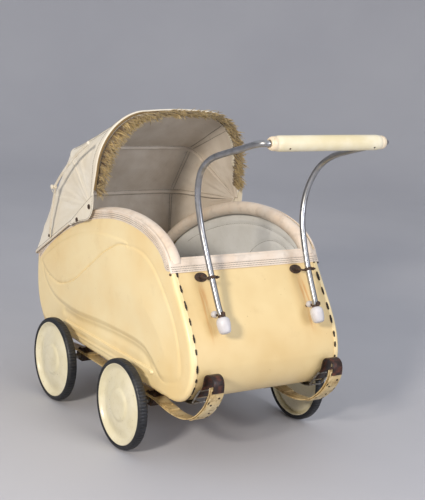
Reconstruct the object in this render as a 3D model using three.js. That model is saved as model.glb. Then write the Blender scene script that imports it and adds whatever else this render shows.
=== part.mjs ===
// A low, streamlined steel-bodied pram: pressed tub, sprung chassis with four disc wheels,
// a folding fabric hood on three bows and a chromed push handle.
// Millimetres, +Z up. X runs across the pram, -Y is the handle end, +Y the hood end.
// The origin is on the floor, under the middle of the pram.
import * as THREE from 'three';

// ---- driving dimensions -------------------------------------------------------------
const DISC_R = 99;                        // pressed wheel disc, over its rolled lip
const TYRE_R = 110.6;                     // solid rubber tyre
const TYRE_SEAT_R = 99.4;                 // inside of the tyre
const WHEEL_BASE = 370;
const MIDDLE_Y = 7.7;                     // middle of the outline, taken off every Y below
const WHEEL_FACE_X = 273;                 // outer lip of a disc
const REAR_AXLE_Y = -121;
const FRONT_AXLE_Y = REAR_AXLE_Y + WHEEL_BASE;
const AXLE_Z = TYRE_R;
const AXLE_R = 7;
const HUB_BORE_R = 7.45;

const BODY_HALF = 212;                    // half width over the steel side panels
const SHEET = 1.5;                        // wall of the tub, drawn thicker than the real sheet
const LINING_T = 3;
const FLOOR_Z = 161;                      // underside of the floor
const GAP = 0.3;                          // between pieces that touch
const WALL_HALF = BODY_HALF - SHEET - GAP;

const SPRING_X = 170;                     // centre of each spring strip
const SPRING_WIDTH = 35;
const SPRING_T = 3;
const STRAP_WIDTH = 29;
const STRAP_T = 3.4;

const ROLL_R = 17;                        // padded roll on the side rims
const REAR_ROLL_R = 5.5;
const BAND_T = 2;
const BAND_H = 20;

const TUBE_R = 7.2;                       // handle tube
const GRIP_R = 17;
const GRIP_HALF = 157;

const PIVOT_Y = 157;                      // hood bows turn about this line
const PIVOT_Z = 540;
const FABRIC_T = 3;
const BOW_R = 3;
const PIVOT_HALF = 226;                   // half width over the cloth at the pivots
// Each station of the hood: angle above the +Y direction, half width and radial reach of its
// top bar, the corner between side and top, and how far the bar is crowned.
const FRONT_BOW = { deg: 94.6, half: 219, reach: 245, cornerX: 130, cornerR: 150, crown: 4 };
const MIDDLE_BOW = { deg: 30.2, half: 202, reach: 238, cornerX: 45, cornerR: 55, crown: 2 };
const BACK_BOW = { deg: -4.8, half: 202, reach: 298, cornerX: 42, cornerR: 50, crown: 2 };
const HEM = { deg: -30.6, half: 227, reach: 391, cornerX: 12, cornerR: 12, crown: 0 };
const FRINGE_LIP = { ...FRONT_BOW, deg: 104, half: 217, reach: 238 };

const ENAMEL = [0xf1dfae, 0.35, 0.1];
const DISC_ENAMEL = [0xe9e2c6, 0.35, 0.1];
const RUBBER = [0x1b1c20, 0.8, 0];
const STEEL = [0x8b8578, 0.45, 0.8];
const RUSTY = [0x5a3a2a, 0.8, 0.4];
const CHROME = [0xb9bcc0, 0.2, 1];
const LEATHERCLOTH = [0xe2d6c6, 0.6, 0];
const HOOD_CLOTH = [0xe9e4d8, 0.7, 0];
const LINING = [0xc9c8c2, 0.8, 0];
const LEATHER = [0x5b3320, 0.6, 0];
const WHITE_RUBBER = [0xeeeae6, 0.6, 0];
const IVORY = [0xe8dcc0, 0.45, 0];
const FRINGE = [0x8f7442, 0.9, 0];

// ---- helpers ------------------------------------------------------------------------
const pram = new THREE.Group();

function add(name, geometry, [color, roughness, metalness], position = [0, 0, 0]) {
  const material = new THREE.MeshStandardMaterial({ color, roughness, metalness });
  const mesh = new THREE.Mesh(geometry, material);
  mesh.name = name;
  mesh.position.set(...position);
  pram.add(mesh);
  return mesh;
}

// Turns a shape drawn in (y, z) and extruded along its own depth so the depth runs along X.
const DEPTH_ALONG_X = new THREE.Matrix4().makeBasis(
  new THREE.Vector3(0, 1, 0), new THREE.Vector3(0, 0, 1), new THREE.Vector3(1, 0, 0));

function slab(shape, x0, x1, curveSegments = 10) {
  const options = { depth: x1 - x0, bevelEnabled: false, curveSegments };
  const geometry = new THREE.ExtrudeGeometry(shape, options);
  return geometry.applyMatrix4(DEPTH_ALONG_X).translate(x0, 0, 0);
}

// A strip of even thickness whose one face follows the points; the other lies to their left.
function strip(points, thickness) {
  const inner = points.map((point, i) => {
    const before = points[Math.max(i - 1, 0)];
    const after = points[Math.min(i + 1, points.length - 1)];
    const along = after.clone().sub(before).normalize();
    return new THREE.Vector2(point.x - along.y * thickness, point.y + along.x * thickness);
  });
  return new THREE.Shape([...points, ...inner.reverse()]);
}

function bezier(a, b, c, d) {
  const corners = [a, b, c, d].map(([y, z]) => new THREE.Vector2(y, z));
  return new THREE.CubicBezierCurve(...corners);
}

function spline(points) {
  return new THREE.SplineCurve(points.map(([y, z]) => new THREE.Vector2(y, z)));
}

function rod(points, radius, steps, sides, tension = 0.5) {
  const corners = points.map((point) => new THREE.Vector3(...point));
  const path = new THREE.CatmullRomCurve3(corners, false, 'catmullrom', tension);
  const section = new THREE.Shape().absarc(0, 0, radius, 0, Math.PI * 2);
  const options = { steps, extrudePath: path, bevelEnabled: false, curveSegments: sides / 2 };
  return new THREE.ExtrudeGeometry(section, options);
}

// A turned piece about the X axis; the profile holds [radius, x] pairs.
function turned(profile, segments) {
  const points = profile.map(([radius, x]) => new THREE.Vector2(radius, x));
  return new THREE.LatheGeometry(points, segments).rotateZ(-Math.PI / 2);
}

const SIDES = [['left', -1], ['right', 1]];

// ---- outlines of the tub, seen from the side ---------------------------------------
const REAR_TOP = [-216, 478];
const RIM_PEAK = [-1, 549];
const FRONT_TOP = [481, 348];
const rimRear = bezier(REAR_TOP, [-185, 525], [-105, 549], RIM_PEAK);
const rimFront = bezier(RIM_PEAK, [150, 549], [370, 465], FRONT_TOP);
const rearWall = bezier(REAR_TOP, [-260, 400], [-335, 335], [-343, 255]);
const rearCorner = bezier([-343, 255], [-343, 205], [-315, FLOOR_Z], [-255, FLOOR_Z]);
const frontCorner = bezier([385, FLOOR_Z], [455, FLOOR_Z], [484, 225], [486, 300]);
const frontWall = bezier([486, 300], [487, 318], [486, 334], FRONT_TOP);

function rimPoints() {
  return [...rimRear.getPoints(9), ...rimFront.getPoints(13).slice(1)];
}

function sidePanelShape() {
  const outline = [
    ...rearWall.getPoints(8), ...rearCorner.getPoints(7).slice(1),
    ...frontCorner.getPoints(8), ...frontWall.getPoints(2).slice(1),
    ...rimPoints().reverse().slice(1, -1),
  ];
  return new THREE.Shape(outline);
}

function bodyPanels() {
  for (const [side, sign] of SIDES) {
    const x = sign * (BODY_HALF - SHEET / 2);
    add(`side_panel_${side}`, slab(sidePanelShape(), x - SHEET / 2, x + SHEET / 2), ENAMEL);
  }
  const rear = [...rearWall.getPoints(9), ...rearCorner.getPoints(8).slice(1)];
  add('rear_panel', slab(strip(rear, SHEET), -WALL_HALF, WALL_HALF), ENAMEL);
  const floor = [[-255 + 2 * GAP, FLOOR_Z], [385 - 2 * GAP, FLOOR_Z]].map(([y, z]) => new THREE.Vector2(y, z));
  add('floor_pan', slab(strip(floor, SHEET), -WALL_HALF, WALL_HALF), ENAMEL);
  const front = [...frontCorner.getPoints(8), ...frontWall.getPoints(2).slice(1)];
  add('front_panel', slab(strip(front, SHEET), -WALL_HALF, WALL_HALF), ENAMEL);
}

// A curve running beside the rim, moved square to it by the given distance.
function besideRim(points, distance) {
  return points.map((point, i) => {
    const before = points[Math.max(i - 1, 0)];
    const after = points[Math.min(i + 1, points.length - 1)];
    const along = after.clone().sub(before).normalize();
    return new THREE.Vector2(point.x + along.y * distance, point.y - along.x * distance);
  });
}

function rims() {
  const rim = rimPoints();
  for (const [side, sign] of SIDES) {
    const x0 = BODY_HALF + GAP;
    const edges = sign < 0 ? [-x0 - BAND_T, -x0] : [x0, x0 + BAND_T];
    const band = new THREE.Shape([...rim.slice(1), ...besideRim(rim, BAND_H).slice(1).reverse()]);
    add(`side_rim_band_${side}`, slab(band, ...edges), LEATHERCLOTH);
    const rollX = sign * (BODY_HALF - SHEET - GAP - ROLL_R - 0.5);
    const path = besideRim(rim.slice(1, -1), 9).map((p) => [rollX, p.x, p.y]);
    add(`side_rim_roll_${side}`, rod(path, ROLL_R, 24, 10), LEATHERCLOTH);
  }
  const wall = rearWall.getPoints(28);
  const outer = besideRim(wall, BAND_T + 2 * GAP);
  const rearBand = strip(outer.slice(0, 4), BAND_T);
  add('rear_rim_band', slab(rearBand, -BODY_HALF, BODY_HALF), LEATHERCLOTH);
  const half = BODY_HALF - SHEET - 2 * ROLL_R - 3;
  const [y, z] = REAR_TOP;
  const roll = rod([[-half, y + 10.3, z], [half, y + 10.3, z]], REAR_ROLL_R, 1, 12);
  add('rear_rim_roll', roll, LEATHERCLOTH);
}

// Padded lining boards just inside the side panels, under the rolls.
function linings() {
  for (const [side, sign] of SIDES) {
    const lower = [[-300, 205], [-255, 176], [380, 172], [440, 195], [470, 300], [468, 318]];
    const upper = besideRim(rimPoints().slice(3, -3), 30).reverse();
    const shape = new THREE.Shape([
      ...lower.map(([y, z]) => new THREE.Vector2(y, z)), ...upper,
      new THREE.Vector2(-245, 380), new THREE.Vector2(-318, 290),
    ]);
    const x0 = BODY_HALF - SHEET - 3;
    const edges = sign < 0 ? [-x0, -x0 + LINING_T] : [x0 - LINING_T, x0];
    add(`lining_${side}`, slab(shape, ...edges), LINING);
  }
}

// ---- chassis ------------------------------------------------------------------------
const SPRING_MIDDLE_Y = (REAR_AXLE_Y + FRONT_AXLE_Y) / 2;
const STRIP_Z = AXLE_Z + AXLE_R + GAP;
// From the middle of the pram outwards: [distance from the axle, height]
const SPRING_CURL = [
  [-20, STRIP_Z], [20, STRIP_Z], [60, 113], [107, 110], [157, 115.5],
  [201, 134], [238, 169], [258, 204], [262, 226],
];

function springProfile() {
  const rear = SPRING_CURL.map(([out, z]) => [REAR_AXLE_Y - out, z]).reverse();
  const front = SPRING_CURL.map(([out, z]) => [FRONT_AXLE_Y + out, z]);
  return spline([...rear, ...front]).getPoints(48);
}

function springs() {
  for (const [side, sign] of SIDES) {
    const x = sign * SPRING_X;
    const shape = strip(springProfile(), SPRING_T);
    add(`spring_strip_${side}`, slab(shape, x - SPRING_WIDTH / 2, x + SPRING_WIDTH / 2), STEEL);
  }
}

const ENDS = [['rear', -1, REAR_AXLE_Y], ['front', 1, FRONT_AXLE_Y]];

// A saddle under the strip, open at the top, that carries the axle.
function openSaddle() {
  const half = 21;
  const bore = AXLE_R + GAP;
  const block = new THREE.Shape();
  block.moveTo(-half, AXLE_R - 0.2);
  block.lineTo(-half, 1);
  block.lineTo(-12, -12.5);
  block.lineTo(12, -12.5);
  block.lineTo(half, 1);
  block.lineTo(half, AXLE_R - 0.2);
  block.lineTo(bore, AXLE_R - 0.2);
  block.absarc(0, 0, bore, 0, -Math.PI, true);
  block.lineTo(-bore, AXLE_R - 0.2);
  return slab(block, -SPRING_WIDTH / 2, SPRING_WIDTH / 2, 8);
}

function axles() {
  for (const [end, , y] of ENDS) {
    const reach = WHEEL_FACE_X - 10;
    const profile = [[0, -reach], [AXLE_R, -reach], [AXLE_R, reach], [0, reach]];
    add(`axle_${end}`, turned(profile, 16), STEEL, [0, y, AXLE_Z]);
    for (const [side, sign] of SIDES) {
      add(`axle_clamp_${end}_${side}`, openSaddle(), RUSTY, [sign * SPRING_X, y, AXLE_Z]);
    }
  }
}

function straps() {
  const route = spline([[-388.5, 196], [-390.5, 234], [-378, 249], [-357, 243], [-349, 215], [-330, 186]]);
  const shape = strip(route.getPoints(14), STRAP_T);
  for (const [end, along] of ENDS) {
    for (const [side, sign] of SIDES) {
      const strap = slab(shape, -STRAP_WIDTH / 2, STRAP_WIDTH / 2);
      const ring = slab(ringShape(), -STRAP_WIDTH / 2 - 3, STRAP_WIDTH / 2 + 3);
      for (const geometry of [strap, ring]) {
        if (along > 0) geometry.rotateZ(Math.PI).translate(0, 2 * SPRING_MIDDLE_Y, 0);
        geometry.translate(sign * SPRING_X, 0, 0);
      }
      add(`strap_${end}_${side}`, strap, LEATHER);
      add(`strap_ring_${end}_${side}`, ring, STEEL);
    }
  }
}

// The steel shackle under each corner of the tub that a strap hangs from.
function ringShape() {
  return new THREE.Shape([[-332, 181.5], [-329, 176], [-290, 160.5], [-289, 164]].map(
    ([y, z]) => new THREE.Vector2(y, z)));
}

function wheels() {
  const disc = [
    [0, -7], [HUB_BORE_R, -7], [HUB_BORE_R, -37], [13, -37], [13, -1], [37, -1.5], [43, -5],
    [66, -8], [84.5, -12.7], [97, -3], [97, -21], [DISC_R, -21], [DISC_R, 0], [96, 0],
    [84, -10], [66, -5.5], [43, -2.2], [38, 1.5], [0, 3],
  ];
  const tyre = [
    [TYRE_SEAT_R, -22], [102, -23.5], [107, -22], [TYRE_R, -15], [TYRE_R, -7], [107, 0.5],
    [102, 2], [TYRE_SEAT_R, 0.5], [TYRE_SEAT_R, -22],
  ];
  for (const [end, , y] of ENDS) {
    for (const [side, sign] of SIDES) {
      const place = [sign * WHEEL_FACE_X, y, AXLE_Z];
      const discGeometry = turned(disc, 24);
      const tyreGeometry = turned(tyre, 36);
      if (sign < 0) {
        discGeometry.rotateZ(Math.PI);
        tyreGeometry.rotateZ(Math.PI);
      }
      add(`wheel_disc_${end}_${side}`, discGeometry, DISC_ENAMEL, place);
      add(`tyre_${end}_${side}`, tyreGeometry, RUBBER, place);
    }
  }
}

// ---- handle -------------------------------------------------------------------------
// One side arm from its foot up to the corner beside the grip: [x, y, z]
const HANDLE_ARM = [
  [134, -332, 374], [137, -326, 384], [139, -282, 464], [144, -245, 546], [149, -234, 590],
  [156, -232, 632], [163, -243, 672], [168, -263, 703], [171, -298, 728], [172, -345, 746],
  [173, -420, 769], [174, -466, 784], [170, -484, 788.5], [160, -490, 789], [150, -490, 789],
];
const GRIP_Y = -490;
const GRIP_Z = 789;

function handle() {
  const right = HANDLE_ARM;
  const left = [...HANDLE_ARM].reverse().map(([x, y, z]) => [-x, y, z]);
  const path = [...right, [50, GRIP_Y, GRIP_Z], [-50, GRIP_Y, GRIP_Z], ...left];
  add('handle_tube', rod(path, TUBE_R, 64, 10), CHROME);

  const bore = TUBE_R + 2 * GAP;
  const h = GRIP_HALF - 5;
  const profile = [
    [bore, -h], [bore + 3, -h - 2], [13.5, -h + 1], [16, -h + 8], [GRIP_R, -h + 24],
    [GRIP_R, h - 24], [16, h - 8], [13.5, h - 1], [bore + 3, h + 2], [bore, h], [bore, -h],
  ];
  add('grip', turned(profile, 16), IVORY, [0, GRIP_Y, GRIP_Z]);

  for (const [side, sign] of SIDES) {
    const tip = [[0, -20], [9, -18], [14, -12], [16, -3], [15.5, 8], [12, 15], [8, 18], [0, 18]];
    const ferrule = new THREE.LatheGeometry(tip.map(([r, t]) => new THREE.Vector2(r, t)), 16);
    ferrule.rotateX(Math.PI / 2 - ARM_LEAN);
    add(`handle_ferrule_${side}`, ferrule, WHITE_RUBBER, [sign * 134, -342.5, 356]);
    const spacer = new THREE.SphereGeometry(7.6, 12, 8);
    add(`handle_spacer_${side}`, spacer, WHITE_RUBBER, [sign * 137, -305.5, 372]);
    add(`handle_bracket_${side}`, bracket(), RUSTY, [sign * 139, -287.5, 454]);
  }
}

const ARM_LEAN = 0.51;                    // of the lower arm from the vertical, radians
const BRACKET_REACH = 45.8;               // from the tube's centre to the rear panel

// A flat eye round the tube whose tail ends in a plate against the rear panel.
function bracket() {
  const shape = new THREE.Shape();
  const eye = 12;
  const neck = 0.5;
  shape.absarc(0, 0, eye, Math.PI / 2 + neck, 2.5 * Math.PI - neck, false);
  shape.lineTo(eye * Math.sin(neck), BRACKET_REACH - 3);
  shape.lineTo(14, BRACKET_REACH - 3);
  shape.lineTo(14, BRACKET_REACH);
  shape.lineTo(-14, BRACKET_REACH);
  shape.lineTo(-14, BRACKET_REACH - 3);
  shape.lineTo(-eye * Math.sin(neck), BRACKET_REACH - 3);
  shape.holes.push(new THREE.Path().absarc(0, 0, TUBE_R + 1.4, 0, Math.PI * 2, true));
  const options = { depth: 8, bevelEnabled: false, curveSegments: 10 };
  const geometry = new THREE.ExtrudeGeometry(shape, options);
  return geometry.translate(0, 0, -4).rotateX(-ARM_LEAN);
}

// ---- hood ---------------------------------------------------------------------------
const SIDE_SHARE = 0.45;                  // of half an arch, the straight side
const CORNER_SHARE = 0.27;                // and its rounded corner

// A point on the arch of a station; t runs from 0 at the left pivot to 1 at the right one.
function stationPoint({ deg, half, reach, cornerX, cornerR, crown }, t, inset = 0) {
  const v = 1 - Math.abs(2 * t - 1);
  const side = reach - cornerR;
  const flat = half - cornerX;
  let x = flat;
  let out = reach;
  if (v < SIDE_SHARE) {
    out = (side * v) / SIDE_SHARE;
    x = PIVOT_HALF + ((half - PIVOT_HALF) * out) / side - inset;
  } else if (v < SIDE_SHARE + CORNER_SHARE) {
    const turn = ((v - SIDE_SHARE) / CORNER_SHARE) * (Math.PI / 2);
    x = flat + (cornerX - inset) * Math.cos(turn);
    out = side + (cornerR - inset) * Math.sin(turn);
  } else {
    const k = (1 - v) / (1 - SIDE_SHARE - CORNER_SHARE);
    x = flat * k;
    out = reach - inset + crown * (1 - k * k);
  }
  const a = THREE.MathUtils.degToRad(deg);
  const sign = t < 0.5 ? -1 : 1;
  return new THREE.Vector3(sign * x, PIVOT_Y + out * Math.cos(a), PIVOT_Z + out * Math.sin(a));
}

function bow(station, foot) {
  const points = [];
  const count = 28;
  for (let i = 0; i <= count; i += 1) {
    points.push(stationPoint(station, foot + ((1 - 2 * foot) * i) / count, 7).toArray());
  }
  return rod(points, BOW_R, 34, 6);
}

// A sheet of cloth stretched between two stations, with thickness towards the inside.
function clothSection(from, to, start, end, rows = 2, columns = 22) {
  const positions = [];
  const indices = [];
  const at = (row, column, inset) => {
    const k = start + ((end - start) * row) / rows;
    const t = 0.012 + (0.976 * column) / columns;
    const a = stationPoint(from, t, inset);
    return a.lerp(stationPoint(to, t, inset), k);
  };
  const width = columns + 1;
  const layer = width * (rows + 1);
  for (const inset of [0, FABRIC_T]) {
    for (let row = 0; row <= rows; row += 1) {
      for (let column = 0; column <= columns; column += 1) {
        positions.push(...at(row, column, inset).toArray());
      }
    }
  }
  const quad = (a, b, c, d) => indices.push(a, b, c, a, c, d);
  for (let row = 0; row < rows; row += 1) {
    for (let column = 0; column < columns; column += 1) {
      const a = row * width + column;
      quad(a, a + 1, a + width + 1, a + width);
      quad(a + layer, a + layer + width, a + layer + width + 1, a + layer + 1);
    }
  }
  for (let column = 0; column < columns; column += 1) {
    const last = rows * width + column;
    quad(column, column + layer, column + layer + 1, column + 1);
    quad(last, last + 1, last + 1 + layer, last + layer);
  }
  for (let row = 0; row < rows; row += 1) {
    const first = row * width;
    const final = first + columns;
    quad(first, first + width, first + width + layer, first + layer);
    quad(final, final + layer, final + layer + width, final + width);
  }
  const geometry = new THREE.BufferGeometry();
  geometry.setAttribute('position', new THREE.Float32BufferAttribute(positions, 3));
  geometry.setIndex(indices);
  return geometry;
}

const CLOTH_START = 0.045;

function hood() {
  add('hood_bow_front', bow(FRONT_BOW, 0.05), STEEL);
  add('hood_bow_middle', bow(MIDDLE_BOW, 0.055), STEEL);
  add('hood_bow_back', bow(BACK_BOW, 0.06), STEEL);
  const open = CLOTH_START;
  add('hood_cloth_front', clothSection(FRONT_BOW, MIDDLE_BOW, open, 1 - open), HOOD_CLOTH);
  add('hood_cloth_middle', clothSection(MIDDLE_BOW, BACK_BOW, open, 1 - open), HOOD_CLOTH);
  add('hood_cloth_back', clothSection(BACK_BOW, HEM, open, 1), HOOD_CLOTH);
  add('hood_fringe', clothSection(FRINGE_LIP, FRONT_BOW, 0, 0.75, 2), FRINGE);
}

// ---- hood stays ---------------------------------------------------------------------
const STAY_FOOT = [379, 417];
const STAY_ELBOW = [353, 556];
const STAY_HEAD = [170, 698];
const STAY_X = 228;

function stayArm(from, to, bend, reach) {
  const a = new THREE.Vector2(...from);
  const b = new THREE.Vector2(...to);
  const along = b.clone().sub(a).normalize();
  const out = new THREE.Vector2(along.y, -along.x).multiplyScalar(bend);
  const start = a.clone().addScaledVector(along, reach[0]);
  const finish = b.clone().addScaledVector(along, -reach[1]);
  const middle = start.clone().lerp(finish, 0.5).add(out);
  const curve = new THREE.SplineCurve([start, middle, finish]);
  return strip(besideRim(curve.getPoints(8), 4), 8);
}

function hoodStays() {
  for (const [side, sign] of SIDES) {
    const lower = stayArm(STAY_FOOT, STAY_ELBOW, 6, [-6, -6]);
    const upper = stayArm(STAY_ELBOW, STAY_HEAD, 10, [-6, -6]);
    const near = sign < 0 ? [-STAY_X - 3, -STAY_X] : [STAY_X, STAY_X + 3];
    const far = sign < 0 ? [near[0] - 3.4, near[0] - 0.4] : [near[1] + 0.4, near[1] + 3.4];
    add(`stay_lower_${side}`, slab(lower, ...near), HOOD_CLOTH);
    add(`stay_upper_${side}`, slab(upper, ...far), HOOD_CLOTH);
  }
}

bodyPanels();
rims();
linings();
springs();
axles();
straps();
wheels();
handle();
hood();
hoodStays();
pram.position.y = -MIDDLE_Y;

export default pram;
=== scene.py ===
"""A low, streamlined steel-bodied pram of the 1940s: enamelled tub, disc wheels, fringed hood.

Shapes are drawn in millimetres in the design's own frame, and `to_frame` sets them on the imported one.
"""

import math
import random

import bmesh
import bpy
import numpy as np
from mathutils import Matrix, Vector, noise


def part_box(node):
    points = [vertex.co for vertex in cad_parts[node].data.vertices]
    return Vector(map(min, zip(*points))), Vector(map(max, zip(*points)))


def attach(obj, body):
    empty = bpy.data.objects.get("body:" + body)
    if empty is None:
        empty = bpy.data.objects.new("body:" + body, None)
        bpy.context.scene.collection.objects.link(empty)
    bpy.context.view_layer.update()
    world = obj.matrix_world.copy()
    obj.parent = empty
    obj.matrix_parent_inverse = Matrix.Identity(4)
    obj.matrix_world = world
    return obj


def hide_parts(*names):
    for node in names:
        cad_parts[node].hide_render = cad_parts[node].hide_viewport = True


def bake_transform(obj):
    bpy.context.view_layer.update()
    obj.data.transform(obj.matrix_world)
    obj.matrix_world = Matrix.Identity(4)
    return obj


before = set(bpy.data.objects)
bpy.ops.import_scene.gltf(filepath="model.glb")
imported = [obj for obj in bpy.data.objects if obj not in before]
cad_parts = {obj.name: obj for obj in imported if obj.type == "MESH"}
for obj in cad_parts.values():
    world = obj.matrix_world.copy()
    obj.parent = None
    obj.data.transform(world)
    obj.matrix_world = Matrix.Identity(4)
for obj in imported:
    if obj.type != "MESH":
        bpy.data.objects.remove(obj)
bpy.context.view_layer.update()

MM = 0.001
SIDES = (("left", -1), ("right", 1))
ENDS = (("rear", -1), ("front", 1))


def middle(node):
    """The centre of a CAD node's box, in millimetres."""
    low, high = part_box(node)
    return np.array((low + high) / 2) / MM


# ---- driving dimensions ------------------------------------------------------------------
REAR_AXLE_Y = -121
SHIFT_Y = middle("axle_rear")[1] - REAR_AXLE_Y
WHEEL_BASE = middle("axle_front")[1] - middle("axle_rear")[1]
AXLE_Z = middle("axle_rear")[2]
AXLE_Y = {"rear": REAR_AXLE_Y, "front": REAR_AXLE_Y + WHEEL_BASE}
MIDDLE_Y = REAR_AXLE_Y + WHEEL_BASE / 2
WHEEL_FACE_X = 273
BODY_HALF = 212
FLOOR_Z = 161
SPRING_X = 170
SPRING_WIDTH = 35
STRAP_WIDTH = 29
ROLL_R = 17
ROLL_X = 192.7
TUBE_R = 7.2
GRIP_HALF = 157
PIVOT_Y = 157
PIVOT_Z = 540
PIVOT_HALF = 226


# ---- curves and meshes -------------------------------------------------------------------
def to_frame(points):
    return (np.asarray(points, float).reshape(-1, 3) + (0, SHIFT_Y, 0)) * MM


def unit(vectors):
    return vectors / np.maximum(np.linalg.norm(vectors, axis=-1, keepdims=True), 1e-9)


def bezier(a, b, c, d, count=40):
    t = np.linspace(0, 1, count)[:, None]
    a, b, c, d = (np.array(p, float) for p in (a, b, c, d))
    return a * (1 - t) ** 3 + 3 * b * t * (1 - t) ** 2 + 3 * c * t * t * (1 - t) + d * t**3


def even(path, count, closed=False):
    """The same line with its points evenly spaced along it."""
    path = np.asarray(path, float)
    if closed:
        path = np.vstack([path, path[:1]])
    length = np.concatenate([[0], np.cumsum(np.linalg.norm(np.diff(path, axis=0), axis=1))])
    at = np.linspace(0, length[-1], count, endpoint=not closed)
    return np.stack([np.interp(at, length, path[:, k]) for k in range(path.shape[1])], -1)


def spline(points, count):
    """A smooth curve through the points, evenly spaced along its length."""
    p = np.asarray(points, float)
    p = np.vstack([2 * p[0] - p[1], p, 2 * p[-1] - p[-2]])
    out = []
    for i in range(1, len(p) - 2):
        t = np.linspace(0, 1, 24, endpoint=False)[:, None]
        a, b, c, d = p[i - 1], p[i], p[i + 1], p[i + 2]
        curve = 2 * b + (c - a) * t + (2 * a - 5 * b + 4 * c - d) * t**2
        out.append((curve + (3 * b - a - 3 * c + d) * t**3) / 2)
    return even(np.vstack([*out, p[-2:-1]]), count)


def length_of(path):
    return float(np.linalg.norm(np.diff(path, axis=0), axis=1).sum())


def square_to(path, closed=False):
    """Unit vectors to the left of a line drawn in (y, z)."""
    if closed:
        along = unit(np.roll(path, -1, 0) - np.roll(path, 1, 0))
    else:
        along = unit(np.gradient(path, axis=0))
    return np.stack([-along[:, 1], along[:, 0]], -1)


def at_x(path, x):
    return np.column_stack([np.full(len(path), x), path])


def swept(path, section, side=None, sizes=None):
    """Rings of a section, given as (side, up) pairs, carried along a path."""
    path = np.asarray(path, float)
    section = np.asarray(section, float)
    along = unit(np.gradient(path, axis=0))
    rings = []
    across = np.array(side if side is not None else np.cross(along[0], (0.3, 0.1, 0.9)), float)
    for i, (point, ahead) in enumerate(zip(path, along)):
        across = unit(across - (across @ ahead) * ahead)
        up = np.cross(ahead, across)
        size = 1 if sizes is None else sizes[i]
        rings.append(point + size * (section[:, :1] * across + section[:, 1:] * up))
        if side is not None:
            across = np.array(side, float)
    return np.array(rings)


def circle(radius, count, squash=1.0):
    a = np.linspace(0, 2 * math.pi, count, endpoint=False)
    return np.stack([radius * np.cos(a), radius * squash * np.sin(a)], -1)


def rounded_bar(width, thickness, bevel=0.8):
    """A rectangular section with small round edges, as (side, up) pairs."""
    w, t = width / 2 - bevel, thickness / 2 - bevel
    corners = ((w, t, 0), (-w, t, 90), (-w, -t, 180), (w, -t, 270))
    return [
        (x + bevel * math.cos(math.radians(a + turn)), y + bevel * math.sin(math.radians(a + turn)))
        for x, y, a in corners
        for turn in (0, 45, 90)
    ]


def turned(profile, centre, sign=1, sides=48, axis=0):
    """Rings of (radius, distance) pairs about an axis through the centre; sign turns it round."""
    a = np.linspace(0, 2 * math.pi, sides, endpoint=False)
    r = np.array([p[0] for p in profile], float)[:, None]
    x = np.array([p[1] for p in profile], float)[:, None] * sign
    ring = [np.broadcast_to(x, (len(profile), sides)), r * np.cos(a), r * np.sin(a)]
    order = {0: (0, 1, 2), 1: (2, 0, 1), 2: (1, 2, 0)}[axis]
    return np.stack([ring[k] for k in order], -1) + centre


def wobble(point, size, seed=0.0):
    """A smooth random number from -1 to 1 that changes over about `size` millimetres."""
    return noise.noise(Vector(point) / size + Vector((seed, seed * 0.37, -seed)))


def dented(points, height, size, seed, axis=0):
    """The points with soft random dents along one axis."""
    points = np.array(points, float)
    flat = points.reshape(-1, 3)
    flat[:, axis] += [height * wobble(p, size, seed) for p in flat]
    return points


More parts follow.
